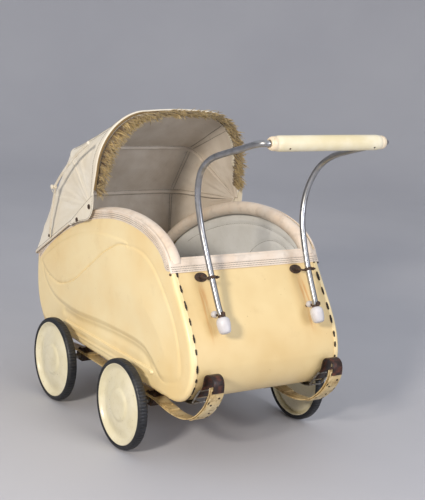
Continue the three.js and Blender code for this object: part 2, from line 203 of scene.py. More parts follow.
class Shape:
    """Points and faces of one piece, gathered in drawing millimetres."""

    def __init__(self):
        self.points, self.faces, self.coats, self.uvs, self.count = [], [], [], [], 0

    def grid(self, points, around=False, coat=0, uv=None, caps=False):
        points = np.asarray(points, float)
        rows, columns = points.shape[:2]
        i = self.count + np.arange(rows * columns).reshape(rows, columns)
        if uv is None:
            uv = np.zeros((rows, columns, 2))
        if caps:
            for ring in (i[0][::-1], i[-1]):
                self.faces.append(tuple(ring))
                self.coats.append(int(np.ravel(coat)[0]))
        if around:
            i = np.hstack([i, i[:, :1]])
        quads = np.stack([i[:-1, :-1], i[:-1, 1:], i[1:, 1:], i[1:, :-1]], -1).reshape(-1, 4)
        self.faces += [tuple(q) for q in quads]
        self.coats += np.broadcast_to(coat, (rows - 1, i.shape[1] - 1)).ravel().tolist()
        self.points.append(points.reshape(-1, 3))
        self.uvs.append(np.asarray(uv, float).reshape(-1, 2))
        self.count += rows * columns
        return self

    def tube(self, path, radius, sides=12, coat=0, sizes=None, side=None, uv=(0, 0)):
        rings = swept(path, circle(radius, sides), side, sizes)
        uv = np.broadcast_to(uv, (*rings.shape[:2], 2))
        return self.grid(rings, around=True, coat=coat, uv=uv, caps=True)

    def bar(self, path, width, thickness, side, coat=0, bevel=0.8):
        section = rounded_bar(width, thickness, bevel)
        return self.grid(swept(path, section, side), around=True, coat=coat, caps=True)

    def lathe(self, profile, centre, sign=1, sides=48, axis=0, coat=0, caps=False):
        return self.grid(turned(profile, centre, sign, sides, axis), around=True, coat=coat, caps=caps)

    def dome(self, centre, ahead, radius, height, coat=0, sides=14):
        """A low round head, such as a rivet's or a nail's, that stands on a surface."""
        ahead = unit(np.array(ahead, float))
        across = unit(np.cross(ahead, (0.2, 0.3, 0.95)))
        up = np.cross(ahead, across)
        rings = []
        for k in range(6):
            a = k * math.pi / 10.2
            spot = np.array(centre, float) + ahead * height * math.sin(a)
            ring = circle(radius * math.cos(a), sides)
            rings.append(spot + ring[:, :1] * across + ring[:, 1:] * up)
        return self.grid(np.array(rings), around=True, coat=coat, caps=True)

    def piece(self, name, finishes, body=None, replaces=(), slot=None, smooth=38, closed=True):
        mesh = bpy.data.meshes.new(name)
        mesh.from_pydata(to_frame(np.vstack(self.points)).tolist(), [], self.faces)
        mesh.polygons.foreach_set("material_index", self.coats)
        layer = mesh.uv_layers.new(name="UVMap")
        uv = np.vstack(self.uvs)
        corners = np.zeros(len(mesh.loops), np.int32)
        mesh.loops.foreach_get("vertex_index", corners)
        layer.data.foreach_set("uv", uv[corners].astype(np.float32).ravel())
        for finish in finishes if isinstance(finishes, (list, tuple)) else [finishes]:
            mesh.materials.append(finish)
        if closed:
            solid = bmesh.new()
            solid.from_mesh(mesh)
            bmesh.ops.recalc_face_normals(solid, faces=solid.faces)
            solid.to_mesh(mesh)
            solid.free()
        mesh.shade_smooth()
        mesh.set_sharp_from_angle(angle=math.radians(smooth))
        made = bpy.data.objects.new(name, mesh)
        bpy.context.scene.collection.objects.link(made)
        if body:
            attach(made, body)
        if replaces:
            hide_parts(*replaces)
        return made


def thickened(made, thickness, offset=-1, inner_coat=0):
    """Gives a pressed or cut sheet its thickness; inner_coat is the finish of the other face."""
    solid = made.modifiers.new("sheet thickness", "SOLIDIFY")
    solid.thickness = thickness * MM
    solid.offset = offset
    solid.material_offset = inner_coat
    return made


# ---- finishes ----------------------------------------------------------------------------
def linear(shade):
    """An sRGB hex colour as the linear RGBA that a shader takes."""
    channels = [int(shade[i : i + 2], 16) / 255 for i in (1, 3, 5)]
    return [c / 12.92 if c <= 0.04045 else ((c + 0.055) / 1.055) ** 2.4 for c in channels] + [1.0]


def node(tree, kind, inputs=None, **settings):
    """Adds a node; an input is a number, a colour or another node's output."""
    made = tree.nodes.new("ShaderNode" + kind)
    for name, value in settings.items():
        setattr(made, name, value)
    for key, value in (inputs or {}).items():
        if isinstance(value, bpy.types.NodeSocket):
            tree.links.new(value, made.inputs[key])
        else:
            made.inputs[key].default_value = value
    return made


def new_finish(name, **constants):
    """An empty finish: its material, tree, shader and the place on the piece in metres."""
    made = bpy.data.materials.new(name)
    made.use_nodes = True
    tree = made.node_tree
    shader = tree.nodes["Principled BSDF"]
    for socket, value in constants.items():
        shader.inputs[socket.replace("_", " ")].default_value = value
    return made, tree, shader, node(tree, "TexCoord").outputs["Object"]


def blotches(tree, place, size, low, high, detail=3.0, rough=0.55):
    """A mask of soft patches about `size` millimetres across, 0 under `low` and 1 over `high`."""
    inputs = {"Vector": place, "Scale": 1 / (size * MM), "Detail": detail, "Roughness": rough}
    cloud = node(tree, "TexNoise", inputs)
    inputs = {"Value": cloud.outputs["Fac"], "From Min": low, "From Max": high}
    return node(tree, "MapRange", inputs).outputs["Result"]


def stained(tree, mask, below, above):
    """Colour `above` laid over colour `below` where the mask is 1; hex strings or outputs."""
    a, b = (linear(c) if isinstance(c, str) else c for c in (below, above))
    return node(tree, "Mix", {0: mask, 6: a, 7: b}, data_type="RGBA").outputs[2]


def dressed(tree, shader, colour, rough, height=None, relief=0.05):
    """Links a colour, a roughness range by its mask and a bump of `relief` millimetres."""
    tree.links.new(colour, shader.inputs["Base Color"])
    mask, low, high = rough
    ranged = node(tree, "MapRange", {"Value": mask, "To Min": low, "To Max": high})
    tree.links.new(ranged.outputs["Result"], shader.inputs["Roughness"])
    if height is not None:
        bump = node(tree, "Bump", {"Height": height, "Distance": relief * MM, "Strength": 1.0})
        tree.links.new(bump.outputs["Normal"], shader.inputs["Normal"])


def within(tree, value, centre, half):
    """1 where a coordinate is within `half` millimetres of `centre`, fading to 0 at the edges."""
    away = node(tree, "Math", {0: value, 1: centre * MM}, operation="SUBTRACT").outputs[0]
    away = node(tree, "Math", {0: away}, operation="ABSOLUTE").outputs[0]
    inputs = {"Value": away, "From Min": half * 0.3 * MM, "From Max": half * MM, "To Min": 1, "To Max": 0}
    return node(tree, "MapRange", inputs, interpolation_type="SMOOTHSTEP").outputs["Result"]


def times(tree, *masks):
    made = masks[0]
    for mask in masks[1:]:
        made = node(tree, "Math", {0: made, 1: mask}, operation="MULTIPLY").outputs[0]
    return made


def stoved_enamel(name, base, aged, rusty=False):
    """Sprayed and stoved enamel on pressed steel: an even half-gloss coat, yellowed in soft
    clouds, with faint orange peel, a little brown grime and, on the end panel, rust run down from
    the clips."""
    made, tree, shader, place = new_finish(name, IOR=1.5, Coat_Weight=0.1, Coat_Roughness=0.2)
    clouds = blotches(tree, place, 170, 0.38, 0.7)
    grime = blotches(tree, place, 46, 0.6, 0.9, detail=7)
    specks = blotches(tree, place, 5, 0.78, 0.82, detail=1)
    axes = node(tree, "SeparateXYZ", {"Vector": place})
    colour = stained(tree, clouds, base, aged)
    colour = stained(tree, times(tree, grime, 0.25), colour, "#B79A66")
    colour = stained(tree, times(tree, specks, 0.5), colour, "#7A5B33")
    if rusty:
        across = node(tree, "Math", {0: axes.outputs["X"]}, operation="ABSOLUTE").outputs[0]
        stretched = node(tree, "Mapping", {"Vector": place, "Scale": (1, 0.12, 0.09)}).outputs[0]
        runs = blotches(tree, stretched, 7, 0.42, 0.66, detail=4)
        run = times(tree, runs, within(tree, across, 144, 13), within(tree, axes.outputs["Z"], 375, 80))
        colour = stained(tree, times(tree, run, 0.75), colour, "#C9803A")
        halo = times(tree, within(tree, across, 138, 42), within(tree, axes.outputs["Z"], 380, 130))
        colour = stained(tree, times(tree, halo, 0.22), colour, "#D3A75E")
        low = blotches(tree, place, 14, 0.35, 0.6, detail=6)
        edge = times(tree, low, within(tree, axes.outputs["Z"], 158, 12))
        colour = stained(tree, edge, colour, "#6A3F1F")
    peel = node(tree, "TexNoise", {"Vector": place, "Scale": 1 / (7 * MM), "Detail": 2.0}).outputs["Fac"]
    dressed(tree, shader, colour, (grime, 0.38, 0.6), peel, 0.05)
    return made


def wheel_enamel():
    """Brushed enamel on pressed discs: paler and greener than the tub, with grime in the dish
    and round the boss where a cloth does not reach."""
    made, tree, shader, place = new_finish("brushed_wheel_enamel", IOR=1.5, Coat_Weight=0.12)
    clouds = blotches(tree, place, 60, 0.35, 0.7)
    grime = blotches(tree, place, 22, 0.5, 0.8, detail=8)
    specks = blotches(tree, place, 4, 0.72, 0.76, detail=1)
    colour = stained(tree, clouds, "#E6DFC4", "#DDD4B2")
    colour = stained(tree, times(tree, grime, 0.2), colour, "#B0A27A")
    colour = stained(tree, times(tree, specks, 0.6), colour, "#5E4A2C")
    dressed(tree, shader, colour, (grime, 0.3, 0.5), clouds, 0.04)
    return made


def moulded_rubber(name, base, dusty, size, relief):
    """Moulded rubber: matt, slightly uneven, greyed by dust in patches."""
    made, tree, shader, place = new_finish(name, IOR=1.52)
    dust = blotches(tree, place, 30, 0.45, 0.75, detail=6)
    grain = blotches(tree, place, size, 0.3, 0.7)
    colour = stained(tree, times(tree, dust, 0.55), base, dusty)
    dressed(tree, shader, colour, (dust, 0.42, 0.7), grain, relief)
    return made


def worn_chrome():
    """Bright nickel-chrome plate on drawn steel tube: soft bands along it, dulled in cloudy
    patches and freckled brown where the steel shows through."""
    made, tree, shader, place = new_finish("worn_chrome_plate", Metallic=1.0)
    haze = blotches(tree, place, 26, 0.35, 0.75, detail=5)
    pits = blotches(tree, place, 7, 0.66, 0.8, detail=3)
    colour = stained(tree, haze, "#B4B5B7", "#8F8E8C")
    colour = stained(tree, times(tree, pits, 0.45), colour, "#5B4A3C")
    dressed(tree, shader, colour, (haze, 0.27, 0.42))
    return made


def rusted_iron():
    """Stamped iron whose plating has gone: near-black scale with brown and orange rust in it."""
    made, tree, shader, place = new_finish("rusted_iron", Metallic=0.35)
    scale = blotches(tree, place, 4, 0.35, 0.65, detail=6)
    orange = blotches(tree, place, 9, 0.55, 0.72, detail=5)
    colour = stained(tree, scale, "#2A211D", "#5D4A3C")
    colour = stained(tree, times(tree, orange, 0.6), colour, "#7E4E2B")
    dressed(tree, shader, colour, (scale, 0.5, 0.85), scale, 0.25)
    return made


def dull_steel():
    """Drawn steel wire and bar, unplated: grey, brushed along its length and tarnished."""
    made, tree, shader, place = new_finish("tarnished_steel", Metallic=0.9)
    tarnish = blotches(tree, place, 9, 0.4, 0.7, detail=6)
    colour = stained(tree, tarnish, "#A6A49E", "#5E5448")
    dressed(tree, shader, colour, (tarnish, 0.28, 0.6), tarnish, 0.08)
    return made


def spring_paint():
    """Brush-painted spring steel: cream gone tan, worn through to brown along edges and bends."""
    made, tree, shader, place = new_finish("worn_spring_paint", IOR=1.5)
    wear = blotches(tree, place, 18, 0.5, 0.62, detail=8, rough=0.7)
    clouds = blotches(tree, place, 55, 0.35, 0.65)
    colour = stained(tree, clouds, "#E0CC9E", "#CBB07A")
    colour = stained(tree, times(tree, wear, 0.55), colour, "#7A5A34")
    dressed(tree, shader, colour, (wear, 0.4, 0.7), wear, -0.12)
    return made


def harness_leather():
    """Oiled strap leather, skived and folded: dark brown, creased, paler where it rubs."""
    made, tree, shader, place = new_finish("harness_leather", IOR=1.48)
    rubbed = blotches(tree, place, 12, 0.48, 0.68, detail=6)
    cells = node(tree, "TexVoronoi", {"Vector": place, "Scale": 1 / (2.2 * MM)}, feature="DISTANCE_TO_EDGE")
    colour = stained(tree, rubbed, "#24150F", "#5C3020")
    dressed(tree, shader, colour, (rubbed, 0.42, 0.62), cells.outputs["Distance"], 0.25)
    return made


def leathercloth(name, base, warm, dirt, amount):
    """Coated cotton, embossed with a fine hide grain (drawn at 2 mm, a coarse one, so that it
    shows): a soft eggshell sheen, handled to a warmer tone, grey dirt in the folds."""
    made, tree, shader, place = new_finish(name, IOR=1.46, Sheen_Weight=0.08)
    handled = blotches(tree, place, 70, 0.35, 0.68, detail=4)
    grey = blotches(tree, place, 24, 0.52, 0.8, detail=8)
    cells = node(tree, "TexVoronoi", {"Vector": place, "Scale": 1 / (2 * MM)}, feature="DISTANCE_TO_EDGE")
    colour = stained(tree, handled, base, warm)
    colour = stained(tree, times(tree, grey, amount), colour, dirt)
    dressed(tree, shader, colour, (grey, 0.48, 0.7), cells.outputs["Distance"], 0.1)
    return made


def hood_cloth(name, base, aged, dirt, amount, crease=0.3):
    """Rubberised twill for hoods: close diagonal weave (its 0.6 mm twill drawn at 2.4 mm so
    that it shows), smooth and pale outside, grey-brown and water-marked on its lining face.
    It is laid out by its own cut, so the weave stays with the cloth as the hood folds. The tub's
    cotton lining is drawn the same way in a greyer white."""
    made, tree, shader, _ = new_finish(name, IOR=1.45, Sheen_Weight=0.15)
    cut = node(tree, "TexCoord").outputs["UV"]
    marks = blotches(tree, cut, 85, 0.36, 0.66, detail=5)
    spots = blotches(tree, cut, 16, 0.6, 0.84, detail=8)
    folds = node(tree, "Mapping", {"Vector": cut, "Scale": (0.25, 1, 1)}).outputs[0]
    folds = blotches(tree, folds, 22, 0.2, 0.8, detail=4)
    twill = node(tree, "TexWave", {"Vector": cut, "Scale": 0.314 / (2.4 * MM)}, bands_direction="DIAGONAL")
    colour = stained(tree, marks, base, aged)
    colour = stained(tree, times(tree, spots, amount), colour, dirt)
    height = node(tree, "Math", {0: folds, 1: 8.0 * crease}, operation="MULTIPLY").outputs[0]
    height = node(tree, "Math", {0: height, 1: twill.outputs["Fac"]}, operation="ADD").outputs[0]
    dressed(tree, shader, colour, (spots, 0.55, 0.8), height, 0.12)
    return made


def worn_grip_paint():
    """Turned wood under thick ivory paint: a low gloss, hand-polished, with pink undercoat and
    bare wood showing in chips towards the ends."""
    made, tree, shader, place = new_finish("ivory_paint_on_turned_wood", IOR=1.5, Coat_Weight=0.1)
    yellowed = blotches(tree, place, 60, 0.35, 0.65)
    chips = blotches(tree, place, 10, 0.6, 0.63, detail=6, rough=0.7)
    across = node(tree, "SeparateXYZ", {"Vector": place}).outputs["X"]
    across = node(tree, "Math", {0: across}, operation="ABSOLUTE").outputs[0]
    ends = within(tree, across, GRIP_HALF, 26)
    grain = node(tree, "Mapping", {"Vector": place, "Scale": (0.08, 1, 1)}).outputs[0]
    grain = blotches(tree, grain, 3, 0.2, 0.8)
    colour = stained(tree, yellowed, "#E9E1C6", "#DDD0A8")
    colour = stained(tree, times(tree, ends, 0.55), colour, "#D9BFA2")
    colour = stained(tree, times(tree, chips, ends), colour, "#9C6A45")
    dressed(tree, shader, colour, (yellowed, 0.3, 0.5), grain, 0.12)
    return made


def cut_yarn():
    """Cut worsted yarn: matt, fuzzy and golden brown, straw at the tips, and darkened towards the roots as
    painted shade where the strands crowd under the heading.
    Each strand's own shade and its root-to-tip run are laid along the strand."""
    made, tree, shader, _ = new_finish("cut_worsted_yarn", Roughness=0.95, Sheen_Weight=0.3)
    cut = node(tree, "SeparateXYZ", {"Vector": node(tree, "TexCoord").outputs["UV"]})
    run, shade = cut.outputs["Y"], cut.outputs["X"]
    colour = stained(tree, shade, "#54391A", "#D2B677")
    # Painted shade: each strand is darkened towards its root, where the strands crowd under the heading.
    roots = node(tree, "MapRange", {"Value": run, "From Min": 0.0, "From Max": 0.5, "To Min": 1, "To Max": 0})
    colour = stained(tree, times(tree, roots.outputs["Result"], 0.85), colour, "#402A12")
    tips = node(tree, "MapRange", {"Value": run, "From Min": 0.55, "From Max": 1.0})
    colour = stained(tree, times(tree, tips.outputs["Result"], 0.6), colour, "#D3BC86")
    tree.links.new(colour, shader.inputs["Base Color"])
    return made


def sewing_thread():
    """Waxed cotton thread, grey-olive against the pale cloth, matt and slightly fuzzy."""
    made, tree, shader, place = new_finish("waxed_thread", IOR=1.5)
    twist = blotches(tree, place, 2, 0.4, 0.6)
    colour = stained(tree, twist, "#8B8376", "#5F584C")
    dressed(tree, shader, colour, (twist, 0.6, 0.8))
    return made


def brushed_paint():
    """Off-white oil paint brushed over the forged hood irons: an eggshell gloss with brush drag
    along it and brown steel grinning through where the joints rub."""
    made, tree, shader, place = new_finish("brushed_iron_paint", IOR=1.48, Coat_Weight=0.05)
    clouds = blotches(tree, place, 30, 0.35, 0.65)
    worn = blotches(tree, place, 5, 0.66, 0.74, detail=5)
    drag = node(tree, "Mapping", {"Vector": place, "Scale": (1, 0.1, 0.1)}).outputs[0]
    drag = blotches(tree, drag, 1.6, 0.3, 0.7)
    colour = stained(tree, clouds, "#E6DFCF", "#D8CDB6")
    colour = stained(tree, times(tree, worn, 0.8), colour, "#6B5038")
    dressed(tree, shader, colour, (worn, 0.42, 0.7), drag, 0.05)
    return made


def bare_chip_and_hole_shade():
    """Primer and dark steel at the bottom of a chip in the enamel: matt, almost black. It is also the painted
    shade laid in the hole of each hood pivot eyelet.
    """
    made, tree, shader, place = new_finish("chipped_to_steel_and_hole_shade", Metallic=0.2)
    scale = blotches(tree, place, 3, 0.3, 0.7, detail=5)
    colour = stained(tree, scale, "#1C1A18", "#3A2C20")
    dressed(tree, shader, colour, (scale, 0.55, 0.8))
    return made


ENAMEL = stoved_enamel("stoved_cream_enamel", "#F3E0B0", "#EED39A")
# The rear end panel and the floor pan take a darker cream than the sides: painted shade for the less light
# that falls on them. The rust runs and grime on it are real.
END_ENAMEL_PAINTED_SHADE = stoved_enamel("stoved_cream_enamel_painted_shade_rust_run", "#E4CC98", "#D9BC84", rusty=True)
DISC_PAINT = wheel_enamel()
TYRE_RUBBER = moulded_rubber("moulded_black_rubber", "#14161B", "#3B3C3E", 5, 0.2)
WHITE_RUBBER = moulded_rubber("moulded_white_rubber", "#CFCCCD", "#ACA7A6", 9, 0.5)
CHROME = worn_chrome()
RUST = rusted_iron()
STEEL = dull_steel()
SPRING_PAINT = spring_paint()
LEATHER = harness_leather()
RIM_CLOTH = leathercloth("leathercloth_rim", "#E6DACB", "#DECAB4", "#9C9186", 0.45)
STAY_PAINT = brushed_paint()
HOOD_OUTSIDE = hood_cloth("rubberised_hood_twill", "#EAE3D3", "#E2D8C2", "#A8977C", 0.35)
HOOD_INSIDE = hood_cloth("hood_twill_lining_face", "#D6CCBE", "#C7BAA9", "#98876F", 0.45)
LINING = hood_cloth("glazed_cotton_lining", "#E2E2DF", "#D6D5D0", "#98928A", 0.3)
GRIP_PAINT = worn_grip_paint()
YARN = cut_yarn()
THREAD = sewing_thread()
CHIP_AND_HOLE_SHADE = bare_chip_and_hole_shade()


# ---- camera, light and floor -------------------------------------------------------------
def camera():
    """A portrait lens behind the handle, to the left of the pram, turned a few degrees over."""
    yaw, pitch, roll = (math.radians(a) for a in (33.87, 12.314, 4.022))
    ahead = Vector((math.sin(yaw) * math.cos(pitch), math.cos(yaw) * math.cos(pitch), -math.sin(pitch)))
    level = Vector((math.cos(yaw), -math.sin(yaw), 0))
    above = level.cross(ahead)
    right = math.cos(roll) * level + math.sin(roll) * above
    up = math.cos(roll) * above - math.sin(roll) * level
    lens = bpy.data.cameras.new("camera")
    lens.sensor_width = 36
    lens.lens = 81.65
    made = bpy.data.objects.new("camera", lens)
    turn = Matrix((right, up, -ahead)).transposed().to_4x4()
    made.matrix_world = Matrix.Translation((-1.5384, -2.3749, 1.0655)) @ turn
    bpy.context.scene.collection.objects.link(made)
    bpy.context.scene.camera = made


def lamp(name, place, target, size, watts, tint):
    light = bpy.data.lights.new(name, "AREA")
    light.shape = "DISK"
    light.size = size
    light.energy = watts
    light.color = linear(tint)[:3]
    made = bpy.data.objects.new(name, light)
    made.location = place
    made.rotation_euler = (Vector(target) - Vector(place)).to_track_quat("-Z", "Y").to_euler()
    bpy.context.scene.collection.objects.link(made)


def studio():
    """A soft key from the left of the camera, a weaker, broader fill, and a pale even floor."""
    scene = bpy.context.scene
    scene.view_settings.view_transform = "Standard"
    world = bpy.data.worlds.new("studio")
    world.use_nodes = True
    world.node_tree.nodes["Background"].inputs["Color"].default_value = linear("#D9DCE2")
    world.node_tree.nodes["Background"].inputs["Strength"].default_value = 1.0
    scene.world = world
    target = (0, 0, 0.35)
    lamp("key_light", (-3.2, -2.15, 1.95), target, 0.55, 125, "#FFF6EA")
    lamp("fill_light", (0.6, -3.4, 1.5), target, 1.8, 48, "#F1F4FF")
    curve = [(r, 0) for r in (0.01, 0.5, 1, 2, 3, 3.6)]
    curve += [(4 + 2 * math.sin(a), 2 - 2 * math.cos(a)) for a in np.linspace(0, math.pi / 2, 18)]
    curve += [(6, 3), (6, 4.5)]
    rings = turned([(r / MM, z / MM) for r, z in curve], (0, 0, 0), 1, 96, axis=2)
    mesh = bpy.data.meshes.new("studio_floor")
    rows = [[r * 96 + c for c in range(96)] for r in range(len(curve))]
    pairs = zip(rows, rows[1:])
    quads = [(low[c - 1], low[c], high[c], high[c - 1]) for low, high in pairs for c in range(96)]
    mesh.from_pydata((rings.reshape(-1, 3) * MM).tolist(), [], [tuple(rows[0][::-1]), *quads])
    mesh.shade_smooth()
    floor = bpy.data.objects.new("studio_floor", mesh)
    made, tree, shader, place = new_finish("matt_floor_paint", IOR=1.45)
    clouds = blotches(tree, place, 900, 0.3, 0.7)
    dressed(tree, shader, stained(tree, clouds, "#BDBDC1", "#B7B7BC"), (clouds, 0.75, 0.85))
    mesh.materials.append(made)
    bpy.context.scene.collection.objects.link(floor)


camera()
studio()


# ---- outlines of the tub, seen from the side, in (y, z) ----------------------------------
REAR_TOP = (-216, 478)
RIM_PEAK = (-1, 549)
FRONT_TOP = (481, 348)
rim_line = np.vstack([
    bezier(REAR_TOP, (-185, 525), (-105, 549), RIM_PEAK, 60),
    bezier(RIM_PEAK, (150, 549), (370, 465), FRONT_TOP, 120)[1:],
])
rear_line = np.vstack([
    bezier(REAR_TOP, (-260, 400), (-335, 335), (-343, 255), 60),
    bezier((-343, 255), (-343, 205), (-315, FLOOR_Z), (-255, FLOOR_Z), 40)[1:],
])
front_line = np.vstack([
    bezier((385, FLOOR_Z), (455, FLOOR_Z), (484, 225), (486, 300), 50),
    bezier((486, 300), (487, 318), (486, 334), FRONT_TOP, 20)[1:],
])


# ---- pressed relief of the side panels ---------------------------------------------------
# A leaf-shaped swell over a larger one; both meet at the crest, and a belt rib runs below.
S_CURVE = [(452, 325), (410, 303), (340, 292), (251, 322), (160, 385), (85, 436), (25, 466), (-26, 475)]
LEAF_TOP = [(-12, 486), (55, 485), (120, 480), (190, 467), (265, 444), (345, 408), (415, 366), (450, 340)]
REAR_SWEEP = [
    (-26, 475), (-50, 478), (-82, 477), (-118, 469), (-165, 443), (-219, 392), (-258, 345), (-284, 295),
    (-299, 248), (-292, 217), (-258, 202), (-213, 196), (-157, 232), (-120, 248), (-57, 252), (80, 247),
    (213, 236), (300, 238), (370, 250), (425, 282), (452, 325),
]
BELT_RIB = [(288, 196), (-169, 201)]
SILL_RIB = [(300, 178), (-150, 182)]


def distance_to(line, points):
    """How far each point is from a line of straight steps."""
    best = np.full(len(points), 1e9)
    for a, b in zip(line[:-1], line[1:]):
        step = b - a
        t = np.clip(((points - a) @ step) / max(step @ step, 1e-9), 0, 1)
        best = np.minimum(best, np.linalg.norm(points - a - t[:, None] * step, axis=1))
    return best


def inside(loop, points):
    crossings = np.zeros(len(points), bool)
    for (ay, az), (by, bz) in zip(loop, np.roll(loop, -1, 0)):
        if az != bz:
            spans = (az > points[:, 1]) != (bz > points[:, 1])
            crossings ^= spans & (points[:, 0] < (by - ay) * (points[:, 1] - az) / (bz - az) + ay)
    return crossings


def ramp(distance, width):
    t = np.clip(distance / width, 0, 1)
    return t * t * (3 - 2 * t)


def relief(points):
    """How far the pressing stands out of the flat panel, in millimetres."""
    s_curve = spline(S_CURVE, 90)
    sweep = spline(REAR_SWEEP, 220)
    leaf = np.vstack([s_curve, spline([S_CURVE[-1], *LEAF_TOP, S_CURVE[0]], 110)[1:-1]])
    field = np.vstack([sweep, s_curve[1:-1]])
    to_leaf = distance_to(np.vstack([leaf, leaf[:1]]), points)
    to_sweep = distance_to(sweep, points)
    in_field, in_leaf = inside(field, points), inside(leaf, points)
    edge = np.where(in_leaf, to_leaf, to_sweep)
    low = ramp(300 - points[:, 1], 80)
    ahead = ramp(points[:, 0] + 262, 90)
    step_up = (1.5 + 4.2 * low * ahead) * ramp(edge, 9 + 9 * low)
    swell = np.where(in_field | in_leaf, step_up + 3.6 * ramp(edge, 120), 0)
    swell += np.where(in_leaf, 1.7 * ramp(to_leaf, 7), 0)
    groove = 0.9 * np.exp(-((distance_to(s_curve, points) / 3.2) ** 2))
    groove += 0.9 * np.exp(-((to_sweep / 3.2) ** 2))
    under = distance_to(spline(REAR_SWEEP[12:18], 60) + (0, -15), points)
    valley = 4.2 * np.exp(-((under / 11) ** 2)) * ~in_field
    rib = 6.0 * ramp(6.5 - distance_to(np.array(BELT_RIB, float), points), 2.4)
    sill = 1.6 * ramp(4.5 - distance_to(np.array(SILL_RIB, float), points), 3.0)
    dents = [0.35 * wobble((0, *point), 90, 3.1) for point in points]
    return swell - groove - valley + rib + sill + dents


def side_panels():
    """Pressed steel sides, turned round at their edges on to the end panels and the floor."""
    floor_line = np.array([(-255 + 640 * k / 70, FLOOR_Z) for k in range(71)])
    outline = np.vstack([rear_line, floor_line[1:-1], front_line, rim_line[::-1][1:-1]])
    outline = even(outline, 430, closed=True)
    out = -square_to(outline, closed=True)
    at_rim = distance_to(rim_line, outline) < 1.5
    soft = np.convolve(np.tile(at_rim.astype(float), 3), np.ones(9) / 9, "same")[430:860]
    turn = 9 - 7.6 * soft
    heart = np.array((60, 325))
    flat_edge = outline - out * turn[:, None]
    rows = [heart + (flat_edge - heart) * r for r in np.linspace(0.004, 1, 104)]
    face = np.array(rows)
    height = relief(face.reshape(-1, 2)).reshape(face.shape[:2])
    for side, sign in SIDES:
        shape = Shape()
        x = -(BODY_HALF + height)
        rings = [np.dstack([x, face[..., 0], face[..., 1]])]
        for k in range(1, 7):
            a = k * math.pi / 12
            edge = flat_edge + out * ((turn + 0.8) * math.sin(a))[:, None]
            rings.append(np.column_stack([-BODY_HALF + turn * (1 - math.cos(a)), edge])[None])
        flange = 13 - 11 * soft
        for depth, lift in ((0.6, 0.8), (1, 0.8), (1.04, 0.2), (1.0, -0.2)):
            edge = outline + out * lift
            rings.append(np.column_stack([-BODY_HALF + np.maximum(turn, flange * depth), edge])[None])
        grid = np.vstack(rings)
        grid[..., 0] *= -sign
        shape.grid(grid[:, :: sign], around=True)
        centre = [*range(grid.shape[1])]
        shape.faces.append(tuple(centre[::-1]))
        shape.coats.append(0)
        made = shape.piece(
            f"side_panel_pressing_{side}", ENAMEL, "pram_body", [f"side_panel_{side}"], "cream_enamel",
            closed=False,
        )
        thickened(made, 1.0)


def end_panels():
    """The end sheets, rolled from the rims down to the floor, lined on the inside."""
    half = BODY_HALF - 5
    for name, line, node_name, finish in (
        # the rear sheet takes the darker cream, painted shade
        ("end_panel_rolled_rear", rear_line, "rear_panel", END_ENAMEL_PAINTED_SHADE),
        ("end_panel_rolled_front", front_line, "front_panel", ENAMEL),
    ):
        line = even(line, 90)
        across = np.linspace(-half, half, 80)
        grid = np.array([at_x(line, x) for x in across])
        grid = dented(grid, 0.5, 75, 7.7, axis=1)
        uv = np.dstack(np.meshgrid(np.arange(90) * 4.6, across, indexing="xy")) * MM
        made = Shape().grid(grid, uv=uv).piece(
            name, [finish, LINING], "pram_body", [node_name], "cream_enamel", closed=False
        )
        thickened(made, 1.5, offset=-1, inner_coat=1)


def seam_wear():
    """Black dashes where the enamel has broken along the lapped seams, and single chips. The
    dashes are slips thick enough to stand clear of the turned edge, so that they show."""
    rng = random.Random(11)
    for side, sign in SIDES:
        shape = Shape()
        line = even(rear_line, 300)
        out = -square_to(line)
        x = sign * (BODY_HALF - 13.2)
        place = 14
        while place < 285:
            low = place > 205
            span = rng.randint(16, 30) if low else rng.randint(8, 19)
            stop = min(place + span, 295)
            run = np.arange(place, stop)
            wide = 2.0 + 0.8 * rng.random()
            taper = np.sin(np.linspace(0.12, math.pi - 0.12, len(run))) ** 0.5
            jag = [0.7 + 0.6 * rng.random() for _ in run]
            section = [
                np.column_stack([
                    x + sign * taper * jag * wide * k,
                    line[run] + out[run] * (1.7 + 0.1 * (1 - k * k)),
                ])
                for k in (-1, 0, 1)
            ]
            shape.grid(np.array(section))
            place = stop + (rng.randint(0, 3) if low else rng.randint(7, 17))
        made = shape.piece(f"seam_wear_{side}", CHIP_AND_HOLE_SHADE, "pram_body", slot="cream_enamel", closed=False)
        thickened(made, 1.8, offset=0)
        chips = Shape()
        for y, z, size in ((-56, 245, 7.5), (309, 247, 3.6), (-30, 366, 1.6), (4, 372, 1.5), (402, 300, 1.8)):
            ragged = np.array([size * (0.55 + 0.5 * rng.random()) for _ in range(14)])
            angles = np.linspace(0, 2 * math.pi, 14, endpoint=False)
            for coat, grow, lift in ((0, 1.25, 0.25), (1, 0.85, 0.45)):
                ring = np.column_stack([
                    y + grow * ragged * np.cos(angles) * 1.3, z + grow * ragged * np.sin(angles) * 0.7,
                ])
                face_x = BODY_HALF + relief(ring) + lift
                ring = np.column_stack([sign * face_x, ring])
                heart = np.array((0, y, z)) * 0.7
                chips.grid(np.array([ring, ring * (1, 0.3, 0.3) + heart]), around=True, coat=coat, caps=True)
        chips.piece(f"enamel_chips_{side}", [ENAMEL, CHIP_AND_HOLE_SHADE], "pram_body", slot="cream_enamel")


side_panels()
end_panels()
seam_wear()


